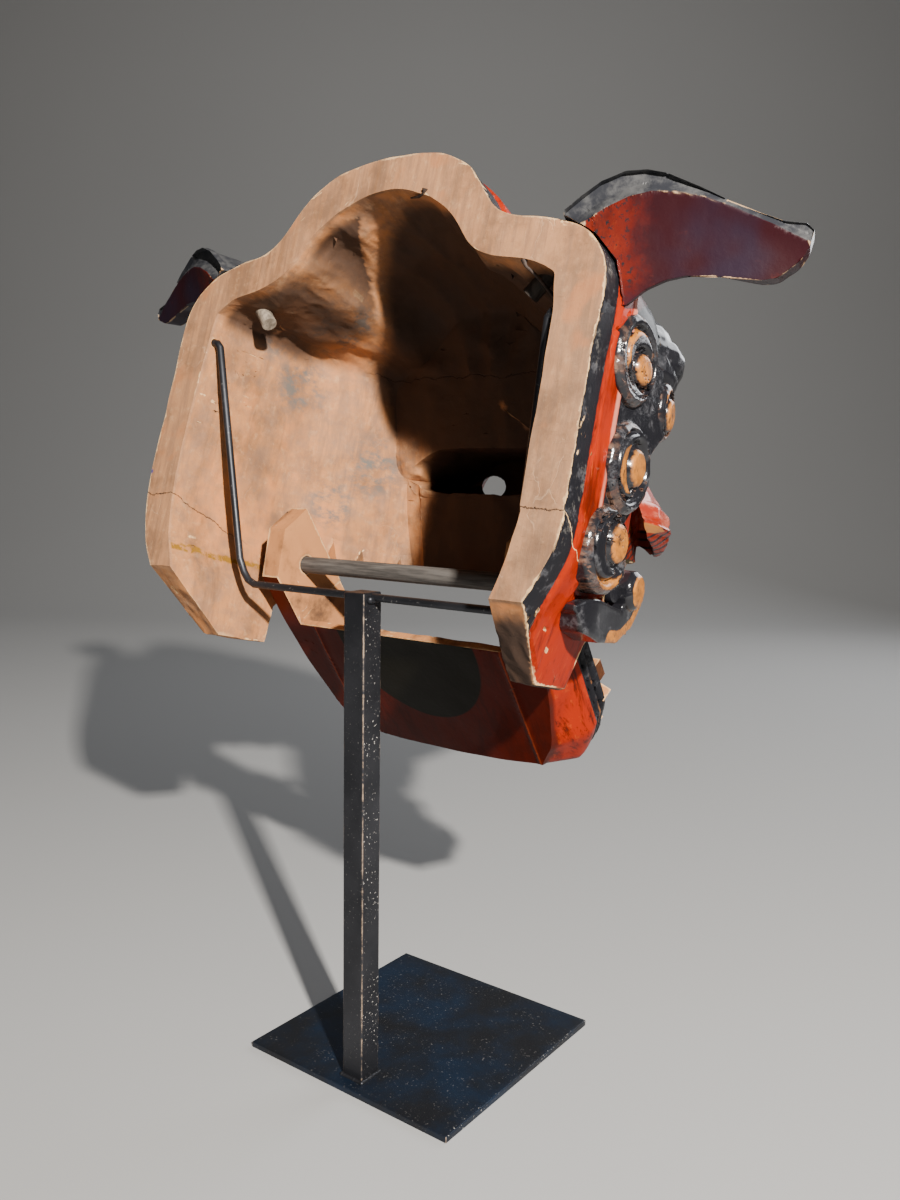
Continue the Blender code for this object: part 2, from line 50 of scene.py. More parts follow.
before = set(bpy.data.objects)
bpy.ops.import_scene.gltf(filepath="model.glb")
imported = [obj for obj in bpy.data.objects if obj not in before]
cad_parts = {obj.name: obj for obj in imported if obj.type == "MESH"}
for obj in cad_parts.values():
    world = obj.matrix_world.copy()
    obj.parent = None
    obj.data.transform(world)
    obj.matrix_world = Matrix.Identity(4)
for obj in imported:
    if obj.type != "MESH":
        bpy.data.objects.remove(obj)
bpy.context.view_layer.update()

HEAD_POINT = Vector((0.0, 0.1337, 0.3957))
HEAD_LEAN = math.radians(15.6)
HEAD_TURN = np.array(Matrix.Rotation(HEAD_LEAN, 3, "X"))
JAW_PIVOT = Vector((0.0, 0.027, 0.393))
JAW_OPEN = math.radians(57.2)
JAW_TURN = np.array(Matrix.Rotation(JAW_OPEN, 3, "X"))
SIDES = (("left", 1), ("right", -1))
SHARP = 38.0                  # degrees between two faces, beyond which their edge is a crease
SUBDIVISIONS = 12             # rounds of halving, at most


# Sizes and colours that a user would change

def colour(name, description, value):
    return bpy.props.FloatVectorProperty(name=name, description=description, default=value,
                                         size=3, min=0.0, max=1.0, subtype="COLOR")


def length(name, description, value):
    return bpy.props.FloatProperty(name=name, description=description, default=value,
                                   unit="LENGTH", subtype="DISTANCE", precision=4)


class LionHeadSizes(bpy.types.PropertyGroup):
    shell_mesh: length("Shell mesh", "Longest edge of the shell's mesh", 0.0072)
    band_mesh: length("Band mesh", "Longest edge near the rim's painted bands", 0.0033)
    relief_mesh: length("Relief mesh", "Longest edge on the small carvings", 0.0017)
    curl_mesh: length("Curl mesh", "Longest edge on the curls", 0.0014)
    black_band: length("Black band", "Width of the black band in front of the rim", 0.0200)
    red_band: length("Red band", "Width of the raised red band", 0.0270)
    band_rise: length("Band rise", "How far the red band stands out", 0.0022)
    gouge_depth: length("Gouge depth", "Depth of the tool marks on the walls inside", 0.0014)
    ceiling_depth: length("Ceiling gouges", "Depth of the broad gouges in the ceiling", 0.0060)
    ear_chamfer: length("Ear chamfer", "Depth of the black slope on each ear", 0.0070)
    nose_droop: length("Nose droop", "How far the wings of the nose hang", 0.0180)
    groove_depth: length("Groove depth", "Depth of the spiral grooves in the curls", 0.0038)
    plate_bevel: length("Plate bevel", "Worn edge of the base plate", 0.0008)


class LionHeadColours(bpy.types.PropertyGroup):
    wood: colour("Bare wood", "Bare wood of the hollow", (0.37, 0.155, 0.056))
    rim: colour("Rim wood", "Dusty wood of the rear rim", (0.34, 0.165, 0.078))
    wood_dark: colour("Old wood", "Dark grain and grime", (0.085, 0.040, 0.020))
    wood_pale: colour("Pale wood", "Freshly worn wood", (0.56, 0.36, 0.18))
    blush: colour("Blush", "Orange cast on the wood inside", (0.48, 0.180, 0.055))
    stain: colour("Stain", "Grey-blue stain inside", (0.110, 0.092, 0.078))
    glue: colour("Glue", "Old amber glue in a crack", (0.20, 0.095, 0.012))
    red: colour("Red lacquer", "Orange-red lacquer", (0.225, 0.0115, 0.0006))
    red_dark: colour("Brushed red", "Dark brush marks in the red", (0.070, 0.0050, 0.0012))
    maroon: colour("Maroon lacquer", "Darkened red lacquer", (0.018, 0.0025, 0.0042))
    black: colour("Black lacquer", "Black lacquer", (0.008, 0.008, 0.010))
    dusty: colour("Dusty black", "Rubbed and dusty black lacquer", (0.050, 0.050, 0.055))
    gilt: colour("Gilt", "Worn ochre gilding", (0.33, 0.115, 0.012))
    brown: colour("Brown edge", "Wood worn through black lacquer", (0.085, 0.033, 0.018))
    oval: colour("Oval", "Dark green-black oval under the jaw", (0.0060, 0.0050, 0.0026))
    steel: colour("Steel", "Blue-black oxide on the stand", (0.018, 0.019, 0.023))
    plate: colour("Base plate", "Blue oxide on the base plate", (0.012, 0.027, 0.058))
    # Colour of the painted shadow deep in the hollow, where the rim keeps the light off the wood
    painted_shadow: colour("Painted shadow", "Painted shadow on the wood deep in the hollow", (0.030, 0.016, 0.010))
    floor: colour("Floor", "Studio floor", (0.33, 0.33, 0.33))


def sizes():
    return bpy.context.scene.lion_head_sizes


def shades():
    return bpy.context.scene.lion_head_colours


# Places

def to_local(points):
    """Points in the head's own directions, from the lower edge of the rear rim."""
    return (points - np.array(HEAD_POINT)) @ HEAD_TURN


def from_local(points):
    return points @ HEAD_TURN.T + np.array(HEAD_POINT)


def to_jaw(points):
    """Points in the jaw's own directions, from its axle: y back, z up from its floor."""
    return (points - np.array(JAW_PIVOT)) @ JAW_TURN


def smooth(value, low, high):
    """0 below low, 1 above high, with a smooth step between them."""
    share = np.clip((value - low) / (high - low), 0.0, 1.0)
    return share * share * (3.0 - 2.0 * share)


def between(value, low, full, fade, high):
    """1 from full to fade, and 0 below low and above high."""
    return smooth(value, low, full) * (1 - smooth(value, fade, high))


def bump(value, middle, width):
    return np.exp(-((value - middle) / width) ** 2)


def rough(points, scale, offset=0.0):
    """Smooth noise between about -1 and 1 at each point."""
    scaled = points * np.array(scale) + offset
    return np.array([noise.noise(p) for p in scaled.tolist()])


def ridges(points, scale, offset=0.0):
    """Scallops between sharp ridges, from 0 in the hollows to 1 on the ridges."""
    return 1.0 - np.clip(np.abs(rough(points, scale, offset)) * 2.4, 0.0, 1.0)


def gap_to(flat, a, b):
    """Distance of each place in a plane from the line between two points."""
    side = b - a
    share = np.clip(((flat - a) @ side) / max(side @ side, 1e-12), 0.0, 1.0)
    return np.linalg.norm(flat - a - share[:, None] * side, axis=1)


# Meshes

def deselect():
    if bpy.context.mode != "OBJECT":
        bpy.ops.object.mode_set(mode="OBJECT")
    bpy.ops.object.select_all(action="DESELECT")


def pick(piece):
    deselect()
    piece.select_set(True)
    bpy.context.view_layer.objects.active = piece


def read_points(piece):
    flat = np.empty(len(piece.data.vertices) * 3)
    piece.data.vertices.foreach_get("co", flat)
    return flat.reshape(-1, 3)


def write_points(piece, points):
    piece.data.vertices.foreach_set("co", points.ravel())
    piece.data.update()


def read_normals(piece):
    flat = np.empty(len(piece.data.vertices) * 3)
    piece.data.vertex_normals.foreach_get("vector", flat)
    return flat.reshape(-1, 3)


def note(piece, name, values):
    """Keep a value for each point of a mesh, for the materials to read."""
    data = piece.data.attributes.get(name) or piece.data.attributes.new(name, "FLOAT", "POINT")
    data.data.foreach_set("value", np.asarray(values, dtype=np.float32))


def merge_points(piece, reach):
    """Merge the points that lie within reach of each other, and keep all faces triangles."""
    pick(piece)
    bpy.ops.object.mode_set(mode="EDIT")
    bpy.ops.mesh.select_all(action="SELECT")
    bpy.ops.mesh.remove_doubles(threshold=reach)
    bpy.ops.mesh.quads_convert_to_tris()
    bpy.ops.object.mode_set(mode="OBJECT")


def solid_copy(node, name, mesh, rounds, **relaxing):
    """Copy of a solid of the frame, with a finer mesh and its facets rounded off."""
    piece = bpy.data.objects.new(name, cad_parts[node].data.copy())
    bpy.context.scene.collection.objects.link(piece)
    piece.data.materials.clear()
    for layer in list(piece.data.uv_layers):
        piece.data.uv_layers.remove(layer)
    merge_points(piece, 0.00002)
    bpy.ops.mesh.customdata_custom_splitnormals_clear()
    refine(piece, mesh)
    relax(piece, rounds, **relaxing)
    return piece


def refine(piece, limit, wanted=None):
    """Halve the edges that are longer than a limit, where wanted, until none is left."""
    pick(piece)
    bpy.ops.object.mode_set(mode="EDIT")
    bpy.ops.mesh.select_mode(type="EDGE")
    for _ in range(SUBDIVISIONS):
        bm = bmesh.from_edit_mesh(piece.data)
        long_edges = [edge for edge in bm.edges if edge.calc_length() > limit]
        if wanted:
            long_edges = [edge for edge in long_edges
                          if wanted((edge.verts[0].co + edge.verts[1].co) / 2)]
        if not long_edges:
            break
        bpy.ops.mesh.select_all(action="DESELECT")
        for edge in long_edges:
            edge.select_set(True)
        bmesh.update_edit_mesh(piece.data)
        bpy.ops.mesh.subdivide(number_cuts=1)
        bpy.ops.mesh.select_all(action="SELECT")
        bpy.ops.mesh.quads_convert_to_tris(quad_method="BEAUTY", ngon_method="BEAUTY")
    bpy.ops.object.mode_set(mode="OBJECT")


class Creases:
    """Edges of a closed triangle mesh, and which of them are creases."""

    def __init__(self, piece, sharp):
        mesh = piece.data
        self.count = len(mesh.vertices)
        ends = np.empty(len(mesh.edges) * 2, dtype=np.int64)
        mesh.edges.foreach_get("vertices", ends)
        self.ends = ends.reshape(-1, 2)
        loop_edges = np.empty(len(mesh.loops), dtype=np.int64)
        mesh.loops.foreach_get("edge_index", loop_edges)
        totals = np.empty(len(mesh.polygons), dtype=np.int64)
        mesh.polygons.foreach_get("loop_total", totals)
        loop_faces = np.repeat(np.arange(len(mesh.polygons)), totals)
        normals = np.empty(len(mesh.polygons) * 3)
        mesh.polygons.foreach_get("normal", normals)
        normals = normals.reshape(-1, 3)
        order = np.argsort(loop_edges, kind="stable")
        uses = np.bincount(loop_edges, minlength=len(mesh.edges))
        first = np.cumsum(uses) - uses
        paired = uses == 2
        self.faces = np.full((len(mesh.edges), 2), -1)
        self.faces[paired, 0] = loop_faces[order[first[paired]]]
        self.faces[paired, 1] = loop_faces[order[first[paired] + 1]]
        cosine = np.einsum("ij,ij->i", normals[self.faces[:, 0]], normals[self.faces[:, 1]])
        self.crease = ~paired | (cosine < math.cos(math.radians(sharp)))

    def average(self, values, links):
        """Mean over each point's linked neighbours."""
        a = np.concatenate([links[:, 0], links[:, 1]])
        b = np.concatenate([links[:, 1], links[:, 0]])
        total = np.maximum(np.bincount(a, minlength=self.count), 1)
        columns = [np.bincount(a, weights=values[b, k], minlength=self.count) / total
                   for k in range(values.shape[1])]
        return np.stack(columns, axis=1)


def relax(piece, rounds, sharp=SHARP, corner=55.0, ahead=0.52, back=0.54):
    """Round the facets off, by steps ahead and back. Creases only move along themselves, and
    with less of a step back, the form shrinks as its edges round."""
    net = Creases(piece, sharp)
    points = read_points(piece)
    creases = net.ends[net.crease]
    touched = np.bincount(creases.ravel(), minlength=net.count)
    line = touched == 2
    step = net.average(points, creases) - points
    reach = np.zeros(net.count)
    lengths = np.linalg.norm(points[creases[:, 0]] - points[creases[:, 1]], axis=1)
    for column in (0, 1):
        reach += np.bincount(creases[:, column], weights=lengths, minlength=net.count) / 2
    bend = np.linalg.norm(step, axis=1) / np.maximum(reach, 1e-9)
    line &= bend < math.sin(math.radians(corner / 2))
    open_skin = touched == 0
    for _ in range(rounds):
        for factor in (ahead, -back):
            over_skin = net.average(points, net.ends) - points
            over_line = net.average(points, creases) - points
            points = points + factor * (over_skin * open_skin[:, None] + over_line * line[:, None])
    write_points(piece, points)


def push(piece, distances):
    """Move each point along its normal."""
    write_points(piece, read_points(piece) + read_normals(piece) * distances[:, None])


def note_wear(piece, rounds=2):
    """Keep how far each point stands out from its neighbours, for worn edges and for darkening in
    hollows.
    """
    net = Creases(piece, SHARP)
    points = read_points(piece)
    normals = read_normals(piece)
    out = points - net.average(points, net.ends)
    spans = np.linalg.norm(points[net.ends[:, 0]] - points[net.ends[:, 1]], axis=1)
    span = np.zeros(net.count)
    for column in (0, 1):
        span += np.bincount(net.ends[:, column], weights=spans, minlength=net.count)
    uses = np.bincount(net.ends.ravel(), minlength=net.count)
    values = (np.einsum("ij,ij->i", out, normals) / np.maximum(span / uses, 1e-9))[:, None]
    for _ in range(rounds):
        values = (values + net.average(values, net.ends)) / 2
    note(piece, "wear", values[:, 0])


def skin_groups(piece):
    """Number of each face's smooth patch, with creases between the patches."""
    net = Creases(piece, SHARP)
    inner = net.faces[~net.crease]
    label = np.arange(len(piece.data.polygons))
    while True:
        low = np.minimum(label[inner[:, 0]], label[inner[:, 1]])
        new = label.copy()
        np.minimum.at(new, inner[:, 0], low)
        np.minimum.at(new, inner[:, 1], low)
        new = new[new]
        if np.array_equal(new, label):
            return label
        label = new


def reach_of(points, chosen):
    """Distance of each point from the nearest chosen one."""
    tree = kdtree.KDTree(len(chosen))
    for index, point in enumerate(chosen.tolist()):
        tree.insert(point, index)
    tree.balance()
    return np.array([tree.find(point)[2] for point in points.tolist()])


def share_of(piece, faces):
    """Share of each point's faces that are among the given ones."""
    ends = np.empty(len(piece.data.loops), dtype=np.int64)
    piece.data.loops.foreach_get("vertex_index", ends)
    count = len(piece.data.vertices)
    total = np.maximum(np.bincount(ends, minlength=count), 1)
    return np.bincount(ends, weights=np.repeat(faces.astype(float), 3), minlength=count) / total


def patch_means(piece, values):
    """Mean of a value of the faces over each smooth patch, given back for each face."""
    patch = skin_groups(piece)
    areas = face_data(piece)[2]
    total = np.bincount(patch, weights=values * areas, minlength=len(patch))
    weight = np.maximum(np.bincount(patch, weights=areas, minlength=len(patch)), 1e-12)
    return (total / weight)[patch]


def face_data(piece):
    count = len(piece.data.polygons)
    centres, normals, areas = np.empty(count * 3), np.empty(count * 3), np.empty(count)
    piece.data.polygons.foreach_get("center", centres)
    piece.data.polygons.foreach_get("normal", normals)
    piece.data.polygons.foreach_get("area", areas)
    return centres.reshape(-1, 3), normals.reshape(-1, 3), areas


def finish(piece, body, nodes, materials, angle=40.0, second=None):
    """Shade a piece, dress it and tie it to its body. Some faces may take the second material."""
    for material in materials:
        piece.data.materials.append(material)
    if second is not None:
        piece.data.polygons.foreach_set("material_index", second.astype(np.int32))
    pick(piece)
    bpy.ops.object.shade_smooth_by_angle(angle=math.radians(angle))
    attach(piece, body)
    if nodes:
        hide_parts(*nodes)
    deselect()
    return piece


def bent_bar(name, points, half, resolution, ends=(1.0, 1.0)):
    """Round bar through some points, whose first and last half widths may differ."""
    line = bpy.data.curves.new(name, "CURVE")
    line.dimensions = "3D"
    line.bevel_depth, line.bevel_resolution = half, resolution
    line.use_fill_caps = True
    spline = line.splines.new("POLY")
    spline.points.add(len(points) - 1)
    for knot, point in zip(spline.points, points):
        knot.co = (*point, 1.0)
    spline.points[0].radius, spline.points[-1].radius = ends
    piece = bpy.data.objects.new(name, line)
    bpy.context.scene.collection.objects.link(piece)
    pick(piece)
    bpy.ops.object.convert(target="MESH")
    piece = bpy.context.active_object
    merge_points(piece, 0.00001)
    return piece


def soften(piece, width, segments):
    bevel = piece.modifiers.new("Soft edges", "BEVEL")
    bevel.width, bevel.segments, bevel.limit_method = width, segments, "ANGLE"


def apply_all(piece):
    pick(piece)
    for modifier in list(piece.modifiers):
        bpy.ops.object.modifier_apply(modifier=modifier.name)
    bpy.ops.object.transform_apply(location=True, rotation=True, scale=True)


# Materials

class Field:
    """Value or colour that a material works out at each place, with plain arithmetic."""

    def __init__(self, socket):
        self.socket, self.tree = socket, socket.id_data

    def __add__(self, other):
        return maths("ADD", self, other)

    def __radd__(self, other):
        return maths("ADD", other, self)

    def __sub__(self, other):
        return maths("SUBTRACT", self, other)

    def __rsub__(self, other):
        return maths("SUBTRACT", other, self)

    def __mul__(self, other):
        return maths("MULTIPLY", self, other)

    def __truediv__(self, other):
        return maths("DIVIDE", self, other)

    def __abs__(self):
        return maths("ABSOLUTE", self)


def connect(socket, value):
    """Link a field to a socket, or set the socket to a plain value."""
    if isinstance(value, Field):
        value.tree.links.new(value.socket, socket)
    else:
        socket.default_value = value


def node(kind, inputs, output=0, **settings):
    """Add a node beside the fields that go into it, and give back one of its outputs."""
    tree = next(value.tree for value in inputs.values() if isinstance(value, Field))
    item = tree.nodes.new(kind)
    for key, value in settings.items():
        setattr(item, key, value)
    for key, value in inputs.items():
        connect(item.inputs[key], value)
    return Field(item.outputs[output])


def maths(operation, *values):
    return node("ShaderNodeMath", dict(enumerate(values)), operation=operation)


def largest(*values):
    total = values[0]
    for value in values[1:]:
        total = maths("MAXIMUM", total, value)
    return total


def step(value, low, high, kind="SMOOTHSTEP"):
    """Mask that rises from low to high, or falls if low is the larger."""
    inputs = {"Value": value, "From Min": low, "From Max": high}
    return node("ShaderNodeMapRange", inputs, interpolation_type=kind)


def bump_mask(value, middle, half):
    """Mask that is 1 at a value and 0 beyond half a width from it."""
    return step(abs(value - middle), half, half * 0.4)


def blend(mask, under, over):
    """Mix of two colours, each plain or a field."""
    colours = [value if isinstance(value, Field) else (*value, 1.0) for value in (under, over)]
    inputs = {"Factor": mask, 6: colours[0], 7: colours[1]}
    return node("ShaderNodeMix", inputs, 2, data_type="RGBA")


def cloud(vector, scale, detail=4.0, roughness=0.55, distortion=0.0):
    inputs = {"Vector": vector, "Scale": scale, "Detail": detail, "Roughness": roughness,
              "Distortion": distortion}
    return node("ShaderNodeTexNoise", inputs, "Fac")


def stretch(vector, scale):
    return node("ShaderNodeMapping", {"Vector": vector, "Scale": scale})


def attribute(vector, name):
    """Value that a mesh keeps, for the material that works out the vector."""
    item = vector.tree.nodes.new("ShaderNodeAttribute")
    item.attribute_name = name
    return Field(item.outputs["Fac"])


def object_place(material):
    return Field(material.node_tree.nodes.new("ShaderNodeTexCoord").outputs["Object"])


def split(vector):
    item = vector.tree.nodes.new("ShaderNodeSeparateXYZ")
    connect(item.inputs[0], vector)
    return [Field(socket) for socket in item.outputs]


def local_place(material, point, turn):
    """Place in the directions of a leaning piece, and its three numbers."""
    inputs = {"Vector": object_place(material), "Location": point, "Rotation": (turn, 0.0, 0.0)}
    vector = node("ShaderNodeMapping", inputs, vector_type="TEXTURE")
    return vector, *split(vector)


def distance(vector, point):
    return node("ShaderNodeVectorMath", {0: vector, 1: point}, "Value", operation="DISTANCE")


def spot(vector, point, radius):
    """Mask round a point, that fades to 0 at a radius."""
    return step(distance(vector, point), radius, radius * 0.25)


def new_group(name, results, **inputs):
    """Start a node group: an input whose default isn't a number is a vector."""
    tree = bpy.data.node_groups.new(name, "ShaderNodeTree")
    for label, value in inputs.items():
        kind = "NodeSocketFloat" if isinstance(value, float) else "NodeSocketVector"
        socket = tree.interface.new_socket(label.title(), in_out="INPUT", socket_type=kind)
        if value is not None:
            socket.default_value = value
    for label in results:
        tree.interface.new_socket(label, in_out="OUTPUT", socket_type="NodeSocketFloat")
    return [Field(socket) for socket in tree.nodes.new("NodeGroupInput").outputs[:len(inputs)]]


def give(**results):
    """Finish a node group: link what its outputs give."""
    made = next(iter(results.values())).tree.nodes.new("NodeGroupOutput").inputs
    for label, value in results.items():
        connect(made[label.title()], value)


def use(name, **values):
    """Place a node group, and give back its outputs by name."""
    item = values["vector"].tree.nodes.new("ShaderNodeGroup")
    item.node_tree = bpy.data.node_groups[name]
    for key, value in values.items():
        connect(item.inputs[key.title()], value)
    return {socket.name: Field(socket) for socket in item.outputs}


def mask(name, **values):
    return use(name, **values)["Mask"]


def make_groups():
    """Build the grain, the worn edges, the scuffs, the scratches and the cracks."""
    # Long wood fibres with darker late wood, as a tone and a height
    vector, scale = new_group("Wood Grain", ["Tone", "Height"], vector=None, scale=1.0)
    vector = node("ShaderNodeVectorMath", {0: vector, "Scale": scale}, operation="SCALE")
    drift = cloud(stretch(vector, (12.0, 12.0, 3.0)), 1.0, 2.0)
    fibres = cloud(stretch(vector, (260.0, 260.0, 16.0)), 1.0, 5.0, 0.65, 0.3)
    bands = cloud(stretch(vector, (60.0, 60.0, 3.5)), 1.0, 3.0, 0.5, 1.2)
    give(tone=fibres * 0.45 + bands * 0.55 + (drift - 0.5) * 0.5, height=fibres)

    # Worn edges, broken up by noise, from the wear that a mesh keeps
    vector, wear, start, spread = new_group("Edge Wear", ["Mask"], vector=None, wear=0.0,
                                            start=0.1, spread=0.1)
    broken, patches = cloud(vector, 220.0, 5.0, 0.65), cloud(vector, 28.0, 3.0, 0.5)
    wobble = (broken - 0.5) * 0.22 + (patches - 0.5) * 0.35
    give(mask=step(wear + wobble, start, start + spread) * step(wear, 0.1, 0.2))

    # Fine specks and rubbed patches
    vector, amount = new_group("Scuffs", ["Mask"], vector=None, amount=0.5)
    value = cloud(vector, 420.0, 4.0, 0.7) * 0.55 + cloud(vector, 24.0, 4.0, 0.6) * 0.45
    low = 0.78 - amount * 0.25
    give(mask=step(value, low, low + 0.08))

    # Thin, broken, spidery scratches, in which "flat" leaves out the way into the wood
    vector, width, flat = new_group("Scratches", ["Mask"], vector=None, width=0.02,
                                    flat=(1.0, 1.0, 1.0))
    bent = node("ShaderNodeTexNoise", {"Vector": vector, "Scale": 55.0, "Detail": 3.0}, "Color")
    bend = node("ShaderNodeVectorMath", {0: bent, "Scale": 0.022}, operation="SCALE")
    vector = node("ShaderNodeVectorMath", {0: vector, 1: bend})
    vector = node("ShaderNodeVectorMath", {0: vector, 1: flat}, operation="MULTIPLY")
    lines = []
    for size, gap in (((60.0, 60.0, 34.0), 0.590), ((110.0, 60.0, 120.0), 0.615)):
        placed = stretch(vector, size)
        walls = node("ShaderNodeTexVoronoi", {"Vector": placed, "Scale": 1.0}, "Distance",
                     feature="DISTANCE_TO_EDGE")
        gate = step(cloud(placed, 0.55, 3.0, 0.6), gap, gap + 0.05)
        lines.append(step(walls, width, 0.0, "LINEAR") * gate)
    give(mask=largest(*lines))

    # Line that wanders about a level of one coordinate
    vector, across, level, width = new_group("Crack", ["Mask"], vector=None, across=0.0,
                                             level=0.0, width=0.0006)
    wander = cloud(vector, 38.0, 5.0, 0.7) - 0.5
    give(mask=step(abs(across - level + wander * 0.014), width, 0.0, "LINEAR"))


def new_material(name, coat=0.0, coat_roughness=0.1, specular=0.5):
    material = bpy.data.materials.new(name)
    material.use_nodes = True
    shader = material.node_tree.nodes["Principled BSDF"].inputs
    shader["Coat Weight"].default_value = coat
    shader["Coat Roughness"].default_value = coat_roughness
    shader["Specular IOR Level"].default_value = specular
    return material


def dress(material, tint, roughness, height=None, strength=0.5, distance=0.001, metallic=0.0):
    """Feed the shader: its colour, gloss, relief and metal."""
    shader = material.node_tree.nodes["Principled BSDF"].inputs
    connect(shader["Base Color"], tint)
    connect(shader["Roughness"], roughness)
    connect(shader["Metallic"], metallic)
    if height:
        inputs = {"Height": height, "Strength": strength, "Distance": distance}
        connect(shader["Normal"], node("ShaderNodeBump", inputs))


def bare_wood():
    """Bare carved wood: mottled, stained, scratched, cracked, pale on the rim's edges, and darkened
    deep in the hollow by a painted shadow.
    """
    tone = shades()
    material = new_material("Bare Carved Wood", specular=0.3)
    vector, x, y, z = local_place(material, HEAD_POINT, HEAD_LEAN)
    wear, edge = attribute(vector, "wear"), attribute(vector, "edge")
    rim = step(y, -0.0035, -0.001)
    hollow = 1.0 - rim
    grain = use("Wood Grain", vector=vector, scale=1.0)
    mottle = cloud(vector, 26.0, 6.0, 0.62)
    fine = cloud(vector, 130.0, 5.0, 0.7)
    tint = blend(rim, tone.wood, tone.rim)
    tint = blend(step(mottle, 0.56, 0.34) * 0.55, tint, tone.wood_dark)
    tint = blend(step(grain["Tone"], 0.52, 0.3) * 0.48, tint, tone.wood_dark)
    tint = blend(step(fine, 0.5, 0.72) * 0.3, tint, (0.52, 0.32, 0.17))
    strokes = cloud(stretch(vector, (3.0, 1.0, 0.35)), 46.0, 5.0, 0.68, 0.4)
    tint = blend(step(strokes, 0.56, 0.4) * 0.42, tint, (0.15, 0.085, 0.052))
    # Greyer wood on the lower right of the rim, darker there as painted shade
    grey = rim * step(x, -0.075, -0.13) * step(z, 0.235, 0.19)
    cast = blend(step(cloud(vector, 34.0, 5.0, 0.7), 0.36, 0.62), (0.075, 0.048, 0.032),
                 (0.19, 0.12, 0.074))
    tint = blend(grey * 0.35, tint, cast)
    orange = rim * step(cloud(vector, 24.0, 3.0), 0.56, 0.66)
    tint = blend(orange * 0.5, tint, (0.36, 0.13, 0.045))
    blush = step(cloud(stretch(vector, (1.0, 1.0, 0.5)), 15.0, 4.0, 0.6), 0.5, 0.64) * hollow
    tint = blend(blush * 0.9, tint, tone.blush)
    blots = largest(*(spot(vector, point, radius) for point, radius in (
        ((0.153, -0.099, 0.183), 0.036), ((0.1, -0.087, 0.225), 0.045), ((0.12, -0.177, 0.13), 0.036),
        ((0.15, -0.06, 0.215), 0.03), ((0.155, -0.03, 0.24), 0.034), ((0.14, -0.15, 0.09), 0.03))))
    smear = step(cloud(stretch(vector, (1.0, 1.0, 1.8)), 48.0, 6.0, 0.72), 0.42, 0.62)
    stain = (blots * 0.85 + 0.22) * smear * hollow
    tint = blend(stain, tint, tone.stain)
    # Darker in the hollows of the gouges, below the ceiling
    darkening = step(wear + mottle * 0.1, -0.03, -0.22) * step(z, 0.215, 0.195)
    tint = blend(darkening * 0.6, tint, (0.05, 0.025, 0.013))
    ticks = step(cloud(stretch(vector, (1.0, 1.0, 7.0)), 95.0, 4.0, 0.7), 0.6, 0.7) * rim
    ticks = ticks * step(x, 0.02, -0.1)
    tint = blend(ticks * 0.45, tint, tone.wood_dark)
    flat = node("ShaderNodeCombineXYZ", {0: rim, 1: hollow, 2: 1.0})
    scratch = mask("Scratches", vector=vector, width=0.022, flat=flat)
    tint = blend(scratch * (rim * 0.16 + 0.14), tint, (0.46, 0.31, 0.19))
    drift = (cloud(vector, 120.0, 5.0, 0.7) - 0.5) * 0.0085
    near = step(edge + drift, 0.0013, 0.0003) * step(cloud(vector, 22.0, 3.0), 0.4, 0.56)
    near = near * step(wear, 0.03, 0.08)
    rubbed = mask("Edge Wear", vector=vector, wear=wear, start=0.12, spread=0.1)
    rubbed = rubbed * step(cloud(vector, 34.0, 5.0, 0.7), 0.44, 0.6)
    rubbed = rubbed * largest(hollow, step(edge, 0.006, 0.004))
    tint = blend(largest(near, rubbed * 0.45), tint, tone.wood_pale)
    right = mask("Crack", vector=vector, across=z, level=0.057, width=0.0007)
    right = right * step(x, -0.12, -0.13) * step(y, -0.05, -0.02)
    left = mask("Crack", vector=vector, across=z + y * -0.28, level=0.0575, width=0.0006)
    left = left * step(x, 0.12, 0.13) * step(y, -0.085, -0.06)
    wall = mask("Crack", vector=vector, across=z, level=0.21, width=0.0006)
    wall = wall * step(y, -0.125, -0.15) * step(x, 0.125, 0.105)
    crack = largest(right, left, wall)
    tint = blend(crack, tint, (0.02, 0.011, 0.007))
    seam = abs(z + (mottle - 0.5) * 0.02 - 0.0175)
    glue = step(seam, 0.0032, 0.0016) * step(x, 0.13, 0.14) * step(fine, 0.4, 0.52)
    glue = glue * step(y, -0.1, -0.085) * hollow
    tint = blend(glue, tint, tone.glue)
    # Painted shadow: the wood darkens to this colour where the rim shades the hollow from the light
    tint = blend(attribute(vector, "deep") * 0.96, tint, tone.painted_shadow)
    tint = blend(spot(vector, (0.1985, -0.001, 0.076), 0.003), tint, (0.02, 0.025, 0.16))
    height = grain["Height"] * 0.5 + fine - scratch * 0.3 - crack * 3.0
    dress(material, tint, 0.74 - glue * 0.5, height, 0.55, 0.0007)
    return material


def brushed_red(vector, along=(1.0, 1.0, 0.16)):
    """Orange-red lacquer with dark brush marks."""
    tone = shades()
    streak = cloud(stretch(vector, along), 75.0, 5.0, 0.72)
    hair = cloud(stretch(vector, tuple(c * 3.2 for c in along)), 80.0, 4.0, 0.75)
    patch = cloud(vector, 20.0, 4.0, 0.6)
    value = streak * 0.62 + patch * 0.38
    tint = blend(step(value, 0.37, 0.52), tone.red_dark, tone.red)
    tint = blend(step(hair, 0.6, 0.7) * 0.75, tint, (0.02, 0.004, 0.002))
    return blend(step(hair, 0.42, 0.32) * 0.45, tint, (0.34, 0.042, 0.004))


def dusty_black(vector):
    tone = shades()
    return blend(step(cloud(vector, 85.0, 6.0, 0.74), 0.52, 0.7), tone.black, tone.dusty)


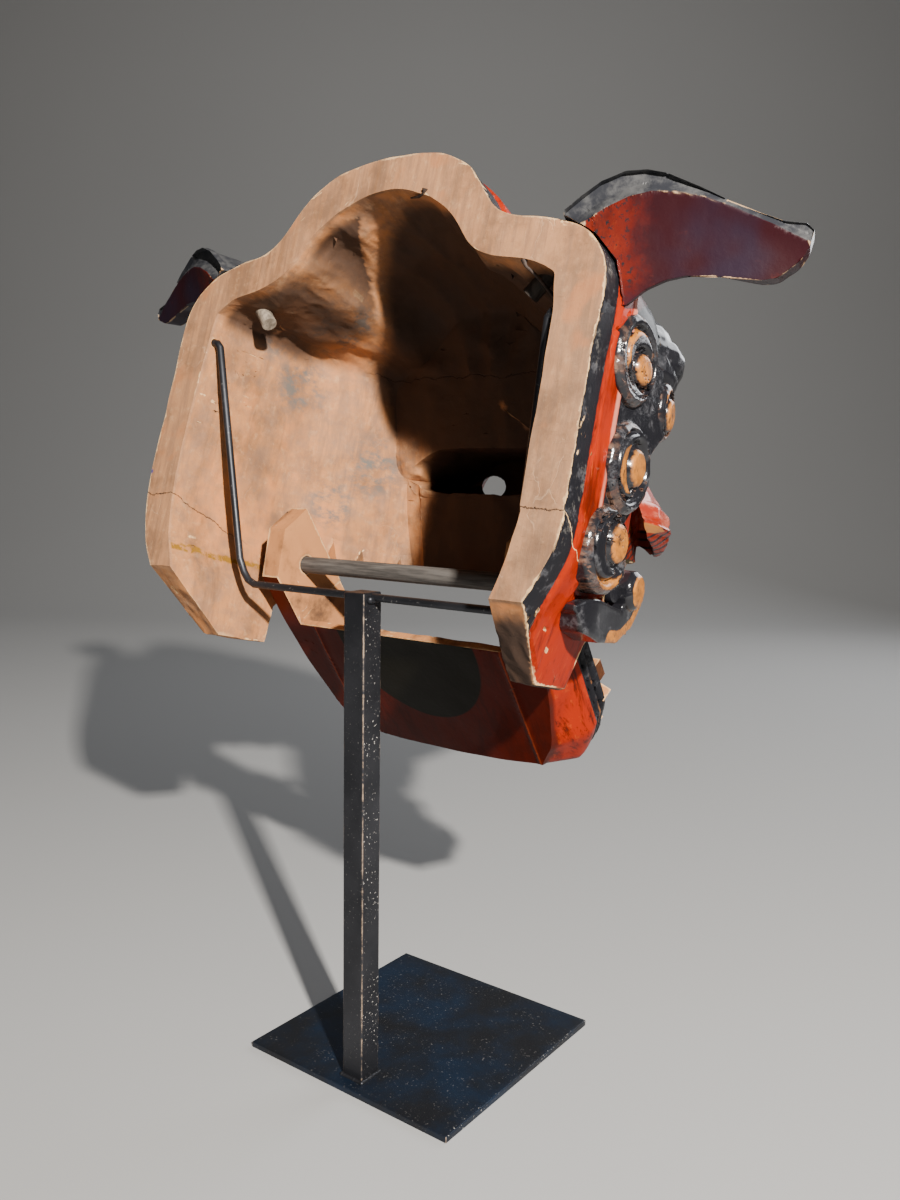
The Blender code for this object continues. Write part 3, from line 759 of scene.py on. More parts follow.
def lacquered_shell():
    """Black and red bands in front of the rim, then a black ground behind the curls."""
    tone, size = shades(), sizes()
    material = new_material("Shell Lacquer", coat=0.1, coat_roughness=0.08, specular=0.05)
    vector, x, y, z = local_place(material, HEAD_POINT, HEAD_LEAN)
    wear, edge = attribute(vector, "wear"), attribute(vector, "edge")
    wobble = cloud(vector, 30.0, 5.0, 0.6) - 0.5
    depth = wobble * 0.0055 - y
    in_black = step(depth, size.black_band + 0.0004, size.black_band - 0.0004)
    front = size.black_band + size.red_band
    ground = step(depth, front - 0.001, front + 0.0002) * step(z, 0.009, 0.012)
    ground = ground * step(depth + z * -0.9, 0.033, 0.031) * step(z + depth * -0.6, 0.172, 0.168)
    tint = blend(largest(in_black, ground), brushed_red(vector), dusty_black(vector))
    tint = nostril(vector, x, y, z, tint)
    worn = in_black * step(cloud(vector, 46.0, 6.0, 0.75), 0.58, 0.66)
    tint = blend(worn * 0.7, tint, (0.085, 0.08, 0.072))
    # Painted highlight: pale pink streaks along the ridge of the red band, where its gloss catches the
    # light
    streaks = step(cloud(stretch(vector, (1.0, 1.0, 0.12)), 60.0, 4.0), 0.44, 0.58)
    painted_crest_highlight = bump_mask(depth, front - 0.004, 0.0034) * streaks * step(z, 0.03, 0.05)
    tint = blend(painted_crest_highlight * 0.75, tint, (0.4, 0.15, 0.105))
    scuff = mask("Scuffs", vector=vector, amount=0.3)
    tint = blend(scuff * 0.5, tint, tone.brown)
    scratch = mask("Scratches", vector=vector, width=0.018, flat=(0.0, 1.0, 1.0))
    tint = blend(scratch * 0.3, tint, (0.3, 0.19, 0.12))
    drift = (cloud(vector, 130.0, 5.0, 0.7) - 0.5) * 0.0075
    band = step(depth, 0.005, 0.0065) * step(depth, 0.075, 0.065) * step(z, 0.008, 0.014)
    near = step(edge + drift, 0.0013, 0.0003) * step(cloud(vector, 26.0, 3.0), 0.38, 0.52)
    pale = mask("Edge Wear", vector=vector, wear=wear, start=0.26, spread=0.06)
    pale = pale * step(edge, 0.0045, 0.003)
    tint = blend(largest(near, pale) * (1.0 - band), tint, tone.wood_pale)
    crack = mask("Crack", vector=vector, across=z + y * -0.75, level=0.057, width=0.0006)
    crack = crack * step(depth, 0.04, 0.03) * step(x, -0.12, -0.13)
    tint = blend(crack, tint, tone.wood_pale)
    gloss = 0.34 + scuff * 0.4 + cloud(vector, 60.0, 4.0) * 0.14
    dress(material, tint, gloss, cloud(vector, 95.0, 5.0, 0.65), 0.35, 0.001)
    return material


def worn_lacquer(name, tint_of, worn, point=HEAD_POINT, turn=HEAD_LEAN, start=0.1, amount=0.35,
                 coat=0.2, gloss=0.34, edges=None, shine=0.15):
    """Lacquer in a colour that is painted by place, with scuffs and worn edges."""
    material = new_material(name, coat=coat, coat_roughness=0.08, specular=shine)
    vector, x, y, z = local_place(material, point, turn)
    tint = tint_of(vector, x, y, z)
    scuff = mask("Scuffs", vector=vector, amount=amount)
    tint = blend(scuff * 0.5, tint, worn)
    pale = mask("Edge Wear", vector=vector, wear=attribute(vector, "wear"), start=start, spread=0.07)
    tint = blend(pale, tint, edges or worn)
    gloss = scuff * 0.35 + cloud(vector, 60.0, 4.0) * 0.14 + gloss
    dress(material, tint, gloss, cloud(vector, 110.0, 5.0, 0.62), 0.3, 0.0008)
    return material


def nostril(vector, x, y, z, tint):
    """Paint a gilt crescent, dark stripes and an olive lip on the wings of the nose."""
    tone = shades()
    wobble = (cloud(vector, 60.0, 4.0) - 0.5) * 0.004
    place = step(abs(x), 0.074, 0.082) * step(y, -0.243, -0.248)
    level = z + y * 0.12 + wobble
    stripe = maths("SINE", (z * 1.4 + y + wobble) * 620.0)
    under = blend(step(stripe, 0.35, 0.75), (0.1, 0.009, 0.003), tone.black)
    tint = blend(place * step(level, 0.08, 0.0785), tint, under)
    along = (y + 0.278) * 40.0
    half = (1.0 - along * along) * 0.0042
    crescent = place * step(half - abs(level - 0.0768), 0.0, 0.0006)
    tint = blend(crescent, tint, (0.2, 0.075, 0.018))
    return blend(place * step(level, 0.05, 0.049), tint, (0.024, 0.02, 0.011))


def nose_tint(vector, x, y, z):
    """Red with pinkish streaks above that are a painted sheen, and the nostrils' paint on the wings.
    """
    tone = shades()
    # Pinkish streaks as a painted sheen, and darker brush marks in the red
    streaks = cloud(stretch(vector, (1.0, 0.3, 1.0)), 80.0, 5.0, 0.72)
    red = blend(step(streaks, 0.58, 0.4), tone.red, (0.36, 0.085, 0.05))
    red = blend(step(streaks, 0.4, 0.32) * 0.6, red, tone.red_dark)
    return nostril(vector, x, y, z, red)


def brow_tint(vector, x, y, z):
    """Black brow, and a gilt ring round the eyeball."""
    tone = shades()
    mirrored = node("ShaderNodeCombineXYZ", {0: abs(x), 1: y, 2: z})
    away = distance(mirrored, (0.11, -0.241, 0.2))
    ring = step(away, 0.015, 0.0158) * step(away, 0.0235, 0.0225)
    tint = blend(ring, dusty_black(vector), tone.gilt)
    fold = step(away, 0.04, 0.0395) * step(away, 0.037, 0.0375)
    return blend(fold, tint, (0.62, 0.48, 0.3))


def ear_tint(vector, *_):
    """Black slope above, and a red face that darkens outwards."""
    tone = shades()
    out, height = attribute(vector, "out"), attribute(vector, "height")
    wobble = cloud(vector, 26.0, 5.0, 0.65) - 0.5
    dark = step(out + wobble * 0.075, 0.012, 0.056)
    near = blend(0.62, brushed_red(vector), (0.03, 0.0036, 0.0018))
    cool = blend(step(cloud(vector, 13.0, 3.0), 0.42, 0.62), tone.maroon, (0.013, 0.006, 0.013))
    face = blend(dark, near, cool)
    specks = step(cloud(vector, 300.0, 4.0, 0.75), 0.56, 0.62)
    face = blend(specks * step(dark, 1.0, 0.2), face, tone.black)
    rubbed = step(cloud(stretch(vector, (0.5, 0.5, 1.0)), 60.0, 6.0, 0.75), 0.6, 0.7)
    face = blend(rubbed * 0.45, face, (0.06, 0.01, 0.007))
    top = step(height + wobble * 0.0015, -0.0002, 0.0004)
    dust = step(cloud(vector, 70.0, 6.0, 0.7), 0.4, 0.66)
    return blend(top, face, blend(dust, (0.018, 0.019, 0.023), (0.06, 0.06, 0.061)))


def jaw_tint(vector, x, y, z):
    """Brushed red, darkened on the underside as painted shade, a large dark oval below, black lips and
    gilt-brown teeth.
    """
    tone = shades()
    tint = brushed_red(vector, (1.0, 0.3, 0.5))
    strokes = cloud(stretch(vector, (1.0, 0.22, 0.6)), 62.0, 6.0, 0.75, 0.6)
    tint = blend(step(strokes, 0.5, 0.62) * 0.85, tint, (0.022, 0.0035, 0.0015))
    # Painted shade: the red darkens on the underside of the jaw
    under = step(z, -0.0255, -0.031) * 0.9
    tint = blend(under, tint, (0.04, 0.0038, 0.001))
    across = x / 0.068
    along = (y + 0.045) / 0.076
    away = maths("SQRT", across * across + along * along)
    oval = step(away, 1.012, 0.988) * step(z, -0.02, -0.023)
    tint = blend(oval, tint, tone.oval)
    # Painted highlight: a paler line along each crease ridge on the underside
    line = bump_mask(abs(x), 0.092, 0.0012) * step(z, -0.029, -0.031)
    tint = blend(line * 0.7, tint, (0.2, 0.03, 0.008))
    tint = blend(step(z, 0.006, 0.0068), tint, dusty_black(vector))
    glint = bump_mask(z, 0.0155, 0.0016) * step(cloud(vector, 60.0, 4.0, 0.6), 0.44, 0.56)
    tint = blend(glint, tint, (0.18, 0.07, 0.022))
    bone = blend(step(cloud(vector, 70.0, 5.0, 0.7), 0.46, 0.64), (0.05, 0.018, 0.008),
                 (0.15, 0.055, 0.014))
    return blend(step(z, 0.0262, 0.0268), tint, bone)


def curl_lacquer():
    """Black lacquer in the grooves, brown worn crests, and gilt middles and crescents."""
    tone = shades()
    material = new_material("Curl Lacquer and Gilt", coat=0.35, coat_roughness=0.1, specular=0.3)
    vector = local_place(material, HEAD_POINT, HEAD_LEAN)[0]
    worn = mask("Edge Wear", vector=vector, wear=attribute(vector, "wear"), start=0.16, spread=0.1)
    brown = blend(step(cloud(vector, 150.0, 4.0, 0.7), 0.4, 0.6), tone.brown, (0.14, 0.085, 0.06))
    streaks = step(cloud(stretch(vector, (0.3, 1.0, 1.0)), 95.0, 5.0, 0.7), 0.44, 0.58)
    tint = blend(largest(worn * 0.8, attribute(vector, "wall") * streaks), dusty_black(vector), brown)
    wobble = cloud(vector, 150.0, 4.0, 0.6) - 0.5
    gilt = step(attribute(vector, "gilt") + wobble * 0.1, -0.01, 0.03)
    strokes = step(cloud(stretch(vector, (1.0, 2.4, 0.8)), 85.0, 5.0, 0.75), 0.585, 0.615)
    gold = blend(step(cloud(vector, 190.0, 5.0, 0.7), 0.35, 0.62), (0.17, 0.06, 0.01), tone.gilt)
    gold = blend(strokes * 0.9, gold, tone.black)
    tint = blend(gilt, tint, gold)
    gloss = 0.17 + gilt * 0.25 + worn * 0.25
    dress(material, tint, gloss, cloud(vector, 150.0, 5.0, 0.65), 0.4, 0.0007)
    return material


def blackened_steel(name, place, half, base=(0.034, 0.035, 0.041)):
    """Blue-black steel whose upright corners have worn bright."""
    material = new_material(name, coat=0.1, coat_roughness=0.3)
    vector = object_place(material)
    x, y, _ = split(vector)
    corner = maths("MINIMUM", abs(x - place[0]), abs(y - place[1]))
    corner = corner + (cloud(vector, 110.0, 5.0, 0.7) - 0.5) * 0.002
    tint = blend(step(cloud(vector, 16.0, 5.0, 0.6), 0.35, 0.7), shades().steel, base)
    side = step(x, place[0] - half * 0.97, place[0] - half * 0.99)
    speck = step(cloud(vector, 520.0, 3.0, 0.6), 0.64, 0.68)
    speck = speck * step(cloud(vector, 40.0, 3.0), 0.36, 0.6) * (side * 0.65 + 0.3)
    tint = blend(speck, tint, (0.42, 0.4, 0.37))
    bright = step(corner, half - 0.0011, half - 0.0004)
    bright = bright * step(cloud(vector, 85.0, 4.0, 0.7), 0.38, 0.56)
    tint = blend(bright * 0.7, tint, (0.3, 0.21, 0.14))
    gloss = cloud(vector, 60.0, 4.0) * 0.2 + 0.38
    metal = 0.75 - largest(speck, bright) * 0.6
    dress(material, tint, gloss, cloud(vector, 300.0, 3.0), 0.15, 0.0004, metal)
    return material


def grey_wood(name="Grey Dowel Wood", along=(4.0, 60.0, 60.0), base=(0.085, 0.077, 0.07), ends=1.0):
    """Dry grey wood, lacquered black beyond a distance from the middle."""
    tone = shades()
    material = new_material(name, specular=0.3)
    vector = object_place(material)
    fibres = cloud(stretch(vector, along), 6.0, 5.0, 0.65)
    tint = blend(step(fibres, 0.35, 0.65), tuple(c * 0.4 for c in base), base)
    speck = mask("Scuffs", vector=vector, amount=0.5)
    tint = blend(speck * 0.5, tint, tone.wood)
    painted = step(abs(split(vector)[0]), ends, ends + 0.0005)
    tint = blend(painted, tint, tone.black)
    dress(material, tint, 0.66 - painted * 0.4, fibres, 0.4, 0.0005)
    return material


def jaw_wood():
    """Bare wood of the jaw's inside, pale along its worn edges."""
    tone = shades()
    material = new_material("Bare Jaw Wood", specular=0.3)
    vector, x, y, z = local_place(material, JAW_PIVOT, JAW_OPEN)
    grain = use("Wood Grain", vector=stretch(vector, (1.0, 0.3, 1.0)), scale=0.8)
    mottle = cloud(vector, 30.0, 6.0, 0.62)
    tint = blend(step(mottle, 0.3, 0.56), tone.wood_dark, tone.wood)
    floor_edge = step(abs(x), 0.108, 0.102) * step(z, -0.002, -0.006) * step(y, -0.01, 0.004)
    tint = blend(floor_edge * 0.8, tint, (0.085, 0.062, 0.044))
    tint = blend(step(grain["Tone"], 0.5, 0.3) * 0.35, tint, tone.wood_dark)
    scratch = mask("Scratches", vector=vector, width=0.022)
    tint = blend(scratch * 0.45, tint, (0.74, 0.62, 0.5))
    drift = (cloud(vector, 120.0, 5.0, 0.7) - 0.5) * 0.006
    near = step(attribute(vector, "edge") + drift, 0.0016, 0.0005)
    near = near * step(cloud(vector, 30.0, 3.0), 0.36, 0.52)
    tint = blend(near * 0.6, tint, tone.wood_pale)
    dress(material, tint, 0.72, grain["Height"] + mottle, 0.5, 0.0007)
    return material


# Pieces

def near_rim(place):
    """Whether a place is on the outside near the painted bands."""
    lean = math.cos(HEAD_LEAN), math.sin(HEAD_LEAN)
    dy, dz = place.y - HEAD_POINT.y, place.z - HEAD_POINT.z
    depth = -(dy * lean[0] + dz * lean[1])
    step_here = 0.185 < depth < 0.206 and abs(place.x) > 0.09
    return -0.001 < depth < 0.054 or step_here


class LIONHEAD_OT_shell(bpy.types.Operator):
    """Carve the hollow shell of the head, with its painted bands and bare rim"""
    bl_idname = "lionhead.shell"
    bl_label = "Head Shell"

    # Inner edge of the rear rim, from its foot to the crown (across, up)
    mouth = ((0.149, -0.100), (0.149, 0.0), (0.161, 0.060), (0.161, 0.150), (0.157, 0.208),
             (0.132, 0.219), (0.096, 0.228), (0.073, 0.251), (0.051, 0.272), (0.018, 0.284))

    def execute(self, context):
        size = sizes()
        piece = solid_copy("head_shell", "carved_shell", size.shell_mesh * 2.2, 14)
        refine(piece, size.shell_mesh)
        refine(piece, size.band_mesh, near_rim)
        relax(piece, 4)
        lacquered, rim = self.skins(piece)
        self.carve(piece, share_of(piece, lacquered), share_of(piece, rim))
        note_wear(piece)
        finish(piece, "root", ["head_shell"], [bare_wood(), lacquered_shell()],
               second=lacquered)
        return {"FINISHED"}

    def skins(self, piece):
        """Faces of the lacquered outside, and faces of the flat rear rim."""
        centres, normals, _ = face_data(piece)
        place, normals = to_local(centres), normals @ HEAD_TURN
        away = np.stack([place[:, 0], place[:, 1] * 0.0, place[:, 2] - 0.12], axis=1)
        away /= np.maximum(np.linalg.norm(away, axis=1), 1e-6)[:, None]
        ahead = (normals[:, 1] < -0.5) & (place[:, 1] < -0.17)
        outwards = np.where(ahead, 1.0, np.einsum("ij,ij->i", normals, away))
        rim = (normals[:, 1] > 0.99) & (np.abs(place[:, 1]) < 0.0006)
        lacquered = patch_means(piece, outwards) > 0.35
        under = patch_means(piece, normals[:, 2]) < -0.60
        under |= patch_means(piece, normals[:, 1]) > 0.30
        return lacquered & ~under & ~rim, rim

    def carve(self, piece, lacquer, rim):
        """Move the points of the outside into bands, and gouge the inside."""
        size = sizes()
        place = to_local(read_points(piece))
        depth, high = -place[:, 1], place[:, 2]
        borders = (lacquer > 0.01) & (lacquer < 0.99)
        note(piece, "edge", reach_of(place, place[borders]))
        # Painted shadow for the bare wood, kept as "deep": the rim's shadow on the hollow, and the
        # shade in the hollow under the left of the ceiling
        painted_valley_shade = (between(high, 0.197, 0.207, 0.238, 0.250) * smooth(place[:, 0], 0.070, 0.098)
                  * between(depth, 0.003, 0.014, 0.085, 0.120))
        note(piece, "deep", np.maximum(self.shade(place), 0.92 * painted_valley_shade) * (lacquer < 0.01))
        start, front = size.black_band, size.black_band + size.red_band
        side = smooth(np.abs(place[:, 0]), 0.08, 0.12) * smooth(high, 0.000, 0.020)
        band = size.band_rise * between(depth, start, start + 0.004, front - 0.002, front + 0.0015)
        ridge = 0.0014 * bump(depth, front - 0.0035, 0.0026)
        recess = -0.0012 * smooth(depth, front, front + 0.004) * side
        outside = band + ridge * side + recess + 0.0007 * rough(place, (14, 14, 14))
        ceiling = smooth(high, 0.195, 0.225)
        turn = np.arctan2(high - 0.150, place[:, 0]) + 0.16 * rough(place, (14, 9, 14), 3.0)
        channels = 0.35 - np.abs(np.sin((turn - 0.50) * math.pi / 0.36))
        broad = 0.6 * channels + 0.5 * (ridges(place, (22, 12, 22), 5.0) - 0.3)
        walls = size.gouge_depth * (ridges(place, (30, 16, 14), 1.0) - 0.3)
        chips = 0.0007 * ridges(place, (90, 60, 60), 9.0)
        ledge = bump(high, 0.122, 0.030) * smooth(depth, 0.13, 0.17)
        torn = 0.0030 * rough(place, (55, 55, 70), 4.0) * ledge
        gouged = size.ceiling_depth * ceiling * broad + walls + chips + torn
        gouged = np.where((lacquer < 0.01) & (rim < 0.01), smooth(depth, 0.003, 0.022) * gouged, 0.0)
        push(piece, np.where(lacquer > 0.99, outside, gouged))
        place = to_local(read_points(piece))
        depth, high = -place[:, 1], place[:, 2]
        inset = 0.012 * smooth(depth, 0.192, 0.199) + 0.010 * smooth(depth, 0.205, 0.260)
        inset = inset * (1 - smooth(high, 0.126, 0.148)) * smooth(np.abs(place[:, 0]), 0.078, 0.098)
        place[:, 0] -= np.sign(place[:, 0]) * inset
        wave = np.stack([rough(place, (48, 48, 48), k * 7.0) for k in range(3)], axis=1)
        wave *= (0.0009 * np.exp(-np.abs(depth) / 0.012))[:, None] * (1.0, 0.0, 1.0)
        wave[:, 0] -= (0.0013 * smooth(high, 0.0580, 0.0560) * smooth(-place[:, 0], 0.135, 0.150)
                       * (1 - smooth(depth, 0.010, 0.040)))
        write_points(piece, from_local(place + wave))

    def shade(self, place):
        """Painted shadow: how far each place lies from the light that comes in over the right of the
        rim.
        """
        depth = np.maximum(-place[:, 1], 0.0)
        flat = np.stack([place[:, 0] - 1.18 * depth, place[:, 2] + 0.395 * depth], axis=1)
        outline = np.array([(-x, z) for x, z in self.mouth] + list(self.mouth)[::-1])
        ends = np.roll(outline, -1, axis=0)
        within = np.zeros(len(flat), dtype=bool)
        nearest = np.full(len(flat), 9.0)
        for a, b in zip(outline, ends):
            nearest = np.minimum(nearest, gap_to(flat, a, b))
            cross = (a[1] > flat[:, 1]) != (b[1] > flat[:, 1])
            run, rise = b - a
            rise = rise if abs(rise) > 1e-9 else 1e-9
            within ^= cross & (flat[:, 0] < run * (flat[:, 1] - a[1]) / rise + a[0])
        # The painted shadow also reaches a little way into the light under the crown
        crown = ((1 - smooth(nearest, 0.020, 0.042)) * smooth(flat[:, 1], 0.196, 0.220)
                 * (1 - smooth(place[:, 0], 0.066, 0.094)))
        dark = np.where(within, 0.95 * crown, smooth(nearest, 0.002, 0.022))
        return dark * smooth(depth, 0.004, 0.016)


class LIONHEAD_OT_curls(bpy.types.Operator):
    """Cut the spiral grooves of the curls on both cheeks"""
    bl_idname = "lionhead.curls"
    bl_label = "Curls"

    # Each curl: its middle on the cheek (y, z) and radius; the middle and half sizes of its
    # gilt drop; its gilt crescent (angle, half span, radius, half width); and the start of its
    # spiral. All but the first are in radii, and in angles from the rear upwards.
    curls = (
        ((-0.055, 0.169, 0.0295), (-0.26, -0.12, 0.38, 0.33), (0.45, 1.50, 0.60, 0.125), 4.6),
        ((-0.122, 0.157, 0.0200), (-0.12, -0.04, 0.54, 0.56), (0.90, 0.90, 0.78, 0.060), 4.2),
        ((-0.070, 0.102, 0.0300), (-0.22, 0.08, 0.38, 0.42), (-0.35, 1.35, 0.52, 0.120), 1.9),
        ((-0.058, 0.046, 0.0290), (-0.36, 0.22, 0.42, 0.44), (-1.57, 1.15, 0.78, 0.110), 1.4))

    def execute(self, context):
        material = curl_lacquer()
        for label, side in SIDES:
            piece = solid_copy("curls_" + label, "carved_curls_" + label,
                               sizes().relief_mesh * 1.6, 3, sharp=60.0)
            refine(piece, sizes().curl_mesh, lambda place: abs(place.x) > 0.184)
            self.carve(piece, side)
            note_wear(piece, 1)
            finish(piece, "root", ["curls_" + label], [material], 60.0)
        return {"FINISHED"}

    def carve(self, piece, side):
        points = read_points(piece)
        place = to_local(points)
        normals = read_normals(piece) @ HEAD_TURN
        nearest = np.full(len(points), 2.0)
        relief = np.zeros(len(points))
        gilt = np.full(len(points), -1.0)
        for (y, z, size), drop, crescent, start in self.curls:
            dy, dz = (place[:, 1] - y) / size, (place[:, 2] - z) / size
            groove, gold = self.spiral(dy, dz, drop, crescent, start)
            r = np.hypot(dy, dz)
            better = r < nearest
            nearest = np.where(better, r, nearest)
            relief = np.where(better & (r < 1.04), groove, relief)
            gilt = np.where(better, gold, gilt)
        face = smooth(normals[:, 0] * side, 0.5, 0.9)
        points[:, 0] += sizes().groove_depth * relief * face * side
        write_points(piece, points)
        push(piece, 0.0005 * rough(points, (60, 60, 60), side * 2.0))
        note(piece, "gilt", np.where(face > 0.3, gilt, -1.0))
        note(piece, "wall", (1 - face) * (nearest < 1.08))

    def spiral(self, dy, dz, drop, crescent, start):
        """Height of a curl's face, and how far inside its gilt a place is."""
        r, angle = np.hypot(dy, dz), np.arctan2(dz, dy)
        away = np.hypot((dy - drop[0]) / drop[2], (dz - drop[1]) / drop[3])
        turned = np.mod(angle - start, 2 * math.pi)
        reach = 0.56 + 0.26 * turned / (2 * math.pi)
        groove = bump(r, reach, 0.055) * smooth(turned, 0.0, 0.8) * smooth(6.1 - turned, 0.0, 0.6)
        groove = np.maximum(groove * (away > 1.1), bump(away, 1.24, 0.20))
        height = 0.35 * (1 - smooth(away, 0.75, 1.05)) + 0.22 * bump(r, 0.92, 0.07) - 1.15 * groove
        middle, span, radius, half = crescent
        swing = np.abs(np.mod(angle - middle + math.pi, 2 * math.pi) - math.pi)
        ring = half * np.clip(1 - (swing / span) ** 2, -0.5, 1.0) - np.abs(r - radius)
        ring = np.where(away > 1.30, ring, -1.0)
        return height, np.maximum(0.30 * (1.0 - away), ring)


class LIONHEAD_OT_scrolls(bpy.types.Operator):
    """Round the scroll and knob at each corner of the mouth"""
    bl_idname = "lionhead.scrolls"
    bl_label = "Scrolls"

    # Middle (y, z) and radius of the knob, the scroll's front edge, and the gilt along it
    knob = (-0.124, 0.031, 0.0140)
    gilt_width = 0.0085
    front = ((-0.100, -0.008), (-0.116, -0.005), (-0.136, 0.0070), (-0.149, 0.026), (-0.138, 0.044))

    def execute(self, context):
        material = curl_lacquer()
        for label, side in SIDES:
            piece = solid_copy("scroll_" + label, "carved_scroll_" + label,
                               sizes().relief_mesh, 22, sharp=170.0, back=0.40)
            place = to_local(read_points(piece))
            tuck = smooth(place[:, 1], -0.075, -0.035) * smooth(place[:, 0] * side, 0.150, 0.175)
            place[:, 0] -= side * 0.006 * tuck
            place[:, 2] -= 0.006 * tuck * smooth(place[:, 2], 0.0, 0.012)
            place[:, 1] -= 0.55 * np.maximum(place[:, 1] + 0.056, 0.0)
            write_points(piece, from_local(place))
            normals = read_normals(piece) @ HEAD_TURN
            y, z, radius = self.knob
            away = np.hypot(place[:, 1] - y, place[:, 2] - z) / radius
            outwards = (normals[:, 0] * side > 0.6) & (place[:, 0] * side > 0.183)
            gold = np.where(outwards, 0.80 - away, -1.0)
            inside = self.gilt_width - self.edge_gap(place)
            face = (normals[:, 0] * side > 0.15) & (away > 1.05)
            gold = np.where(face & (inside > 0), inside * 20, gold)
            note(piece, "gilt", gold)
            note(piece, "wall", np.zeros(len(place)))
            push(piece, 0.0006 * rough(place, (40, 40, 40), side * 2.0))
            note_wear(piece, 1)
            finish(piece, "root", ["scroll_" + label], [material], 70.0)
        return {"FINISHED"}

    def edge_gap(self, place):
        """Distance of each place from the front edge of the scroll, seen from the side."""
        front = np.array(self.front)
        return np.min([gap_to(place[:, 1:], a, b) for a, b in zip(front[:-1], front[1:])], axis=0)


class LIONHEAD_OT_nose(bpy.types.Operator):
    """Carve the broad nose with its drooping wings"""
    bl_idname = "lionhead.nose"
    bl_label = "Nose"

    def execute(self, context):
        piece = solid_copy("nose", "carved_nose", sizes().relief_mesh * 1.9, 16, sharp=120.0,
                           back=0.46)
        place = to_local(read_points(piece))
        wing = smooth(np.abs(place[:, 0]), 0.080, 0.104)
        place[:, 2] -= sizes().nose_droop * wing
        write_points(piece, from_local(place))
        level = place[:, 2] + place[:, 1] * 0.12
        groove = bump(level, 0.0820, 0.0018) + bump(level, 0.0725, 0.0016) * 0.8
        stripes = 0.6 * np.sin((place[:, 2] * 1.4 + place[:, 1]) * 900.0)
        stripes = stripes * smooth(0.074 - level, 0.0, 0.002)
        dents = 0.0006 * rough(place, (20, 20, 20))
        push(piece, wing * (-0.0016 * groove + 0.0006 * stripes) + dents)
        note_wear(piece)
        material = worn_lacquer("Nose Lacquer", nose_tint, shades().brown, start=0.2, amount=0.2,
                                coat=0.5)
        finish(piece, "root", ["nose"], [material], 50.0)
        return {"FINISHED"}


class LIONHEAD_OT_brows(bpy.types.Operator):
    """Polish the black brows and gild the eyes under them"""
    bl_idname = "lionhead.brows"
    bl_label = "Brows and Eyes"

    def execute(self, context):
        material = worn_lacquer("Brow Lacquer", brow_tint, (0.10, 0.085, 0.07), start=0.14, amount=0.3,
                                coat=0.45, gloss=0.20)
        for label, side in SIDES:
            piece = solid_copy("brow_" + label, "polished_brow_" + label,
                               sizes().relief_mesh * 1.4, 12, sharp=60.0)
            place = to_local(read_points(piece))
            place[:, 0] *= side
            folds = -0.0034 * ridges(place, (15, 15, 22), 2.0)
            push(piece, folds + 0.0011 * rough(place, (45, 45, 45)))
            note_wear(piece)
            finish(piece, "root", ["brow_" + label], [material], 50.0)
        return {"FINISHED"}


class LIONHEAD_OT_ears(bpy.types.Operator):
    """Slope the black upper part of the ears, and leave the pegs bare"""
    bl_idname = "lionhead.ears"
    bl_label = "Ears"

    # Root of the left ear (x, y) and how far it sweeps back; foot, aim and radius of its peg
    root = (0.1600, 0.0740)
    sweep = math.radians(18.0)
    peg_radius = 0.0074
    peg = ((0.15027, 0.04521, 0.61594), (0.66913, -0.19985, 0.71577))
    # Where black meets red on the rear face: (out along the ear, height)
    border = ((-0.010, 0.6120), (0.0138, 0.6255), (0.0256, 0.6324), (0.0399, 0.6381), (0.0530, 0.6404),
              (0.0690, 0.6387), (0.0865, 0.6346), (0.1039, 0.6270), (0.1250, 0.6165), (0.1600, 0.5980))

    def execute(self, context):
        paint = worn_lacquer("Ear Lacquer", ear_tint, shades().dusty, start=0.17, amount=0.25,
                             coat=0.25, gloss=0.36, edges=(0.32, 0.21, 0.12))
        pegs = {"left": grey_wood("Ear Peg Wood", (40.0, 40.0, 6.0), (0.24, 0.195, 0.150)),
                "right": grey_wood("Dark Peg Wood", (40.0, 40.0, 6.0), (0.045, 0.035, 0.028))}
        for label, side in SIDES:
            piece = solid_copy("ear_" + label, "carved_ear_" + label,
                               sizes().relief_mesh * 1.4, 14)
            pegged = self.peg_faces(piece, side)
            self.carve(piece, side, share_of(piece, pegged))
            note_wear(piece)
            finish(piece, "ear_" + label, ["ear_" + label], [paint, pegs[label]],
                   second=pegged)
        return {"FINISHED"}

    def peg_faces(self, piece, side):
        """Faces of the peg, by their distance from its middle line."""
        centres, _, _ = face_data(piece)
        mirror = np.array([side, 1.0, 1.0])
        foot, aim = (np.array(part) * mirror for part in self.peg)
        offset = centres - foot
        along = offset @ aim
        near = np.linalg.norm(offset - along[:, None] * aim, axis=1) < self.peg_radius
        return near & (patch_means(piece, near.astype(float)) > 0.6)

    def carve(self, piece, side, pegged):
        points = read_points(piece)
        along = np.array([side * math.cos(self.sweep), -math.sin(self.sweep), 0.0])
        ahead = np.array([-side * math.sin(self.sweep), -math.cos(self.sweep), 0.0])
        offset = points - np.array([side * self.root[0], self.root[1], 0.0])
        out, deep = offset @ along, offset @ ahead
        outs, levels = np.array(self.border).T
        height = points[:, 2] - np.interp(out, outs, levels)
        rear = (deep < 0.0015) & (pegged < 0.01)
        share = np.clip(out / 0.147, 0.0, 1.0)
        limit = sizes().ear_chamfer * (1 - 0.55 * share)
        slope = np.minimum(np.maximum(height, 0.0) * 0.85, limit)
        slope += limit * 0.8 * np.tanh(np.maximum(-height, 0.0) * 0.30 / limit)
        points += ahead * np.where(rear, slope, 0.0)[:, None]
        write_points(piece, points)
        free = (pegged < 0.01) & (out > 0.018)
        push(piece, np.where(free, 0.0006 * rough(points, (26, 26, 26), side * 3.0), 0.0))
        note(piece, "out", out)
        note(piece, "height", np.where(deep < 0.020, height, 0.01))


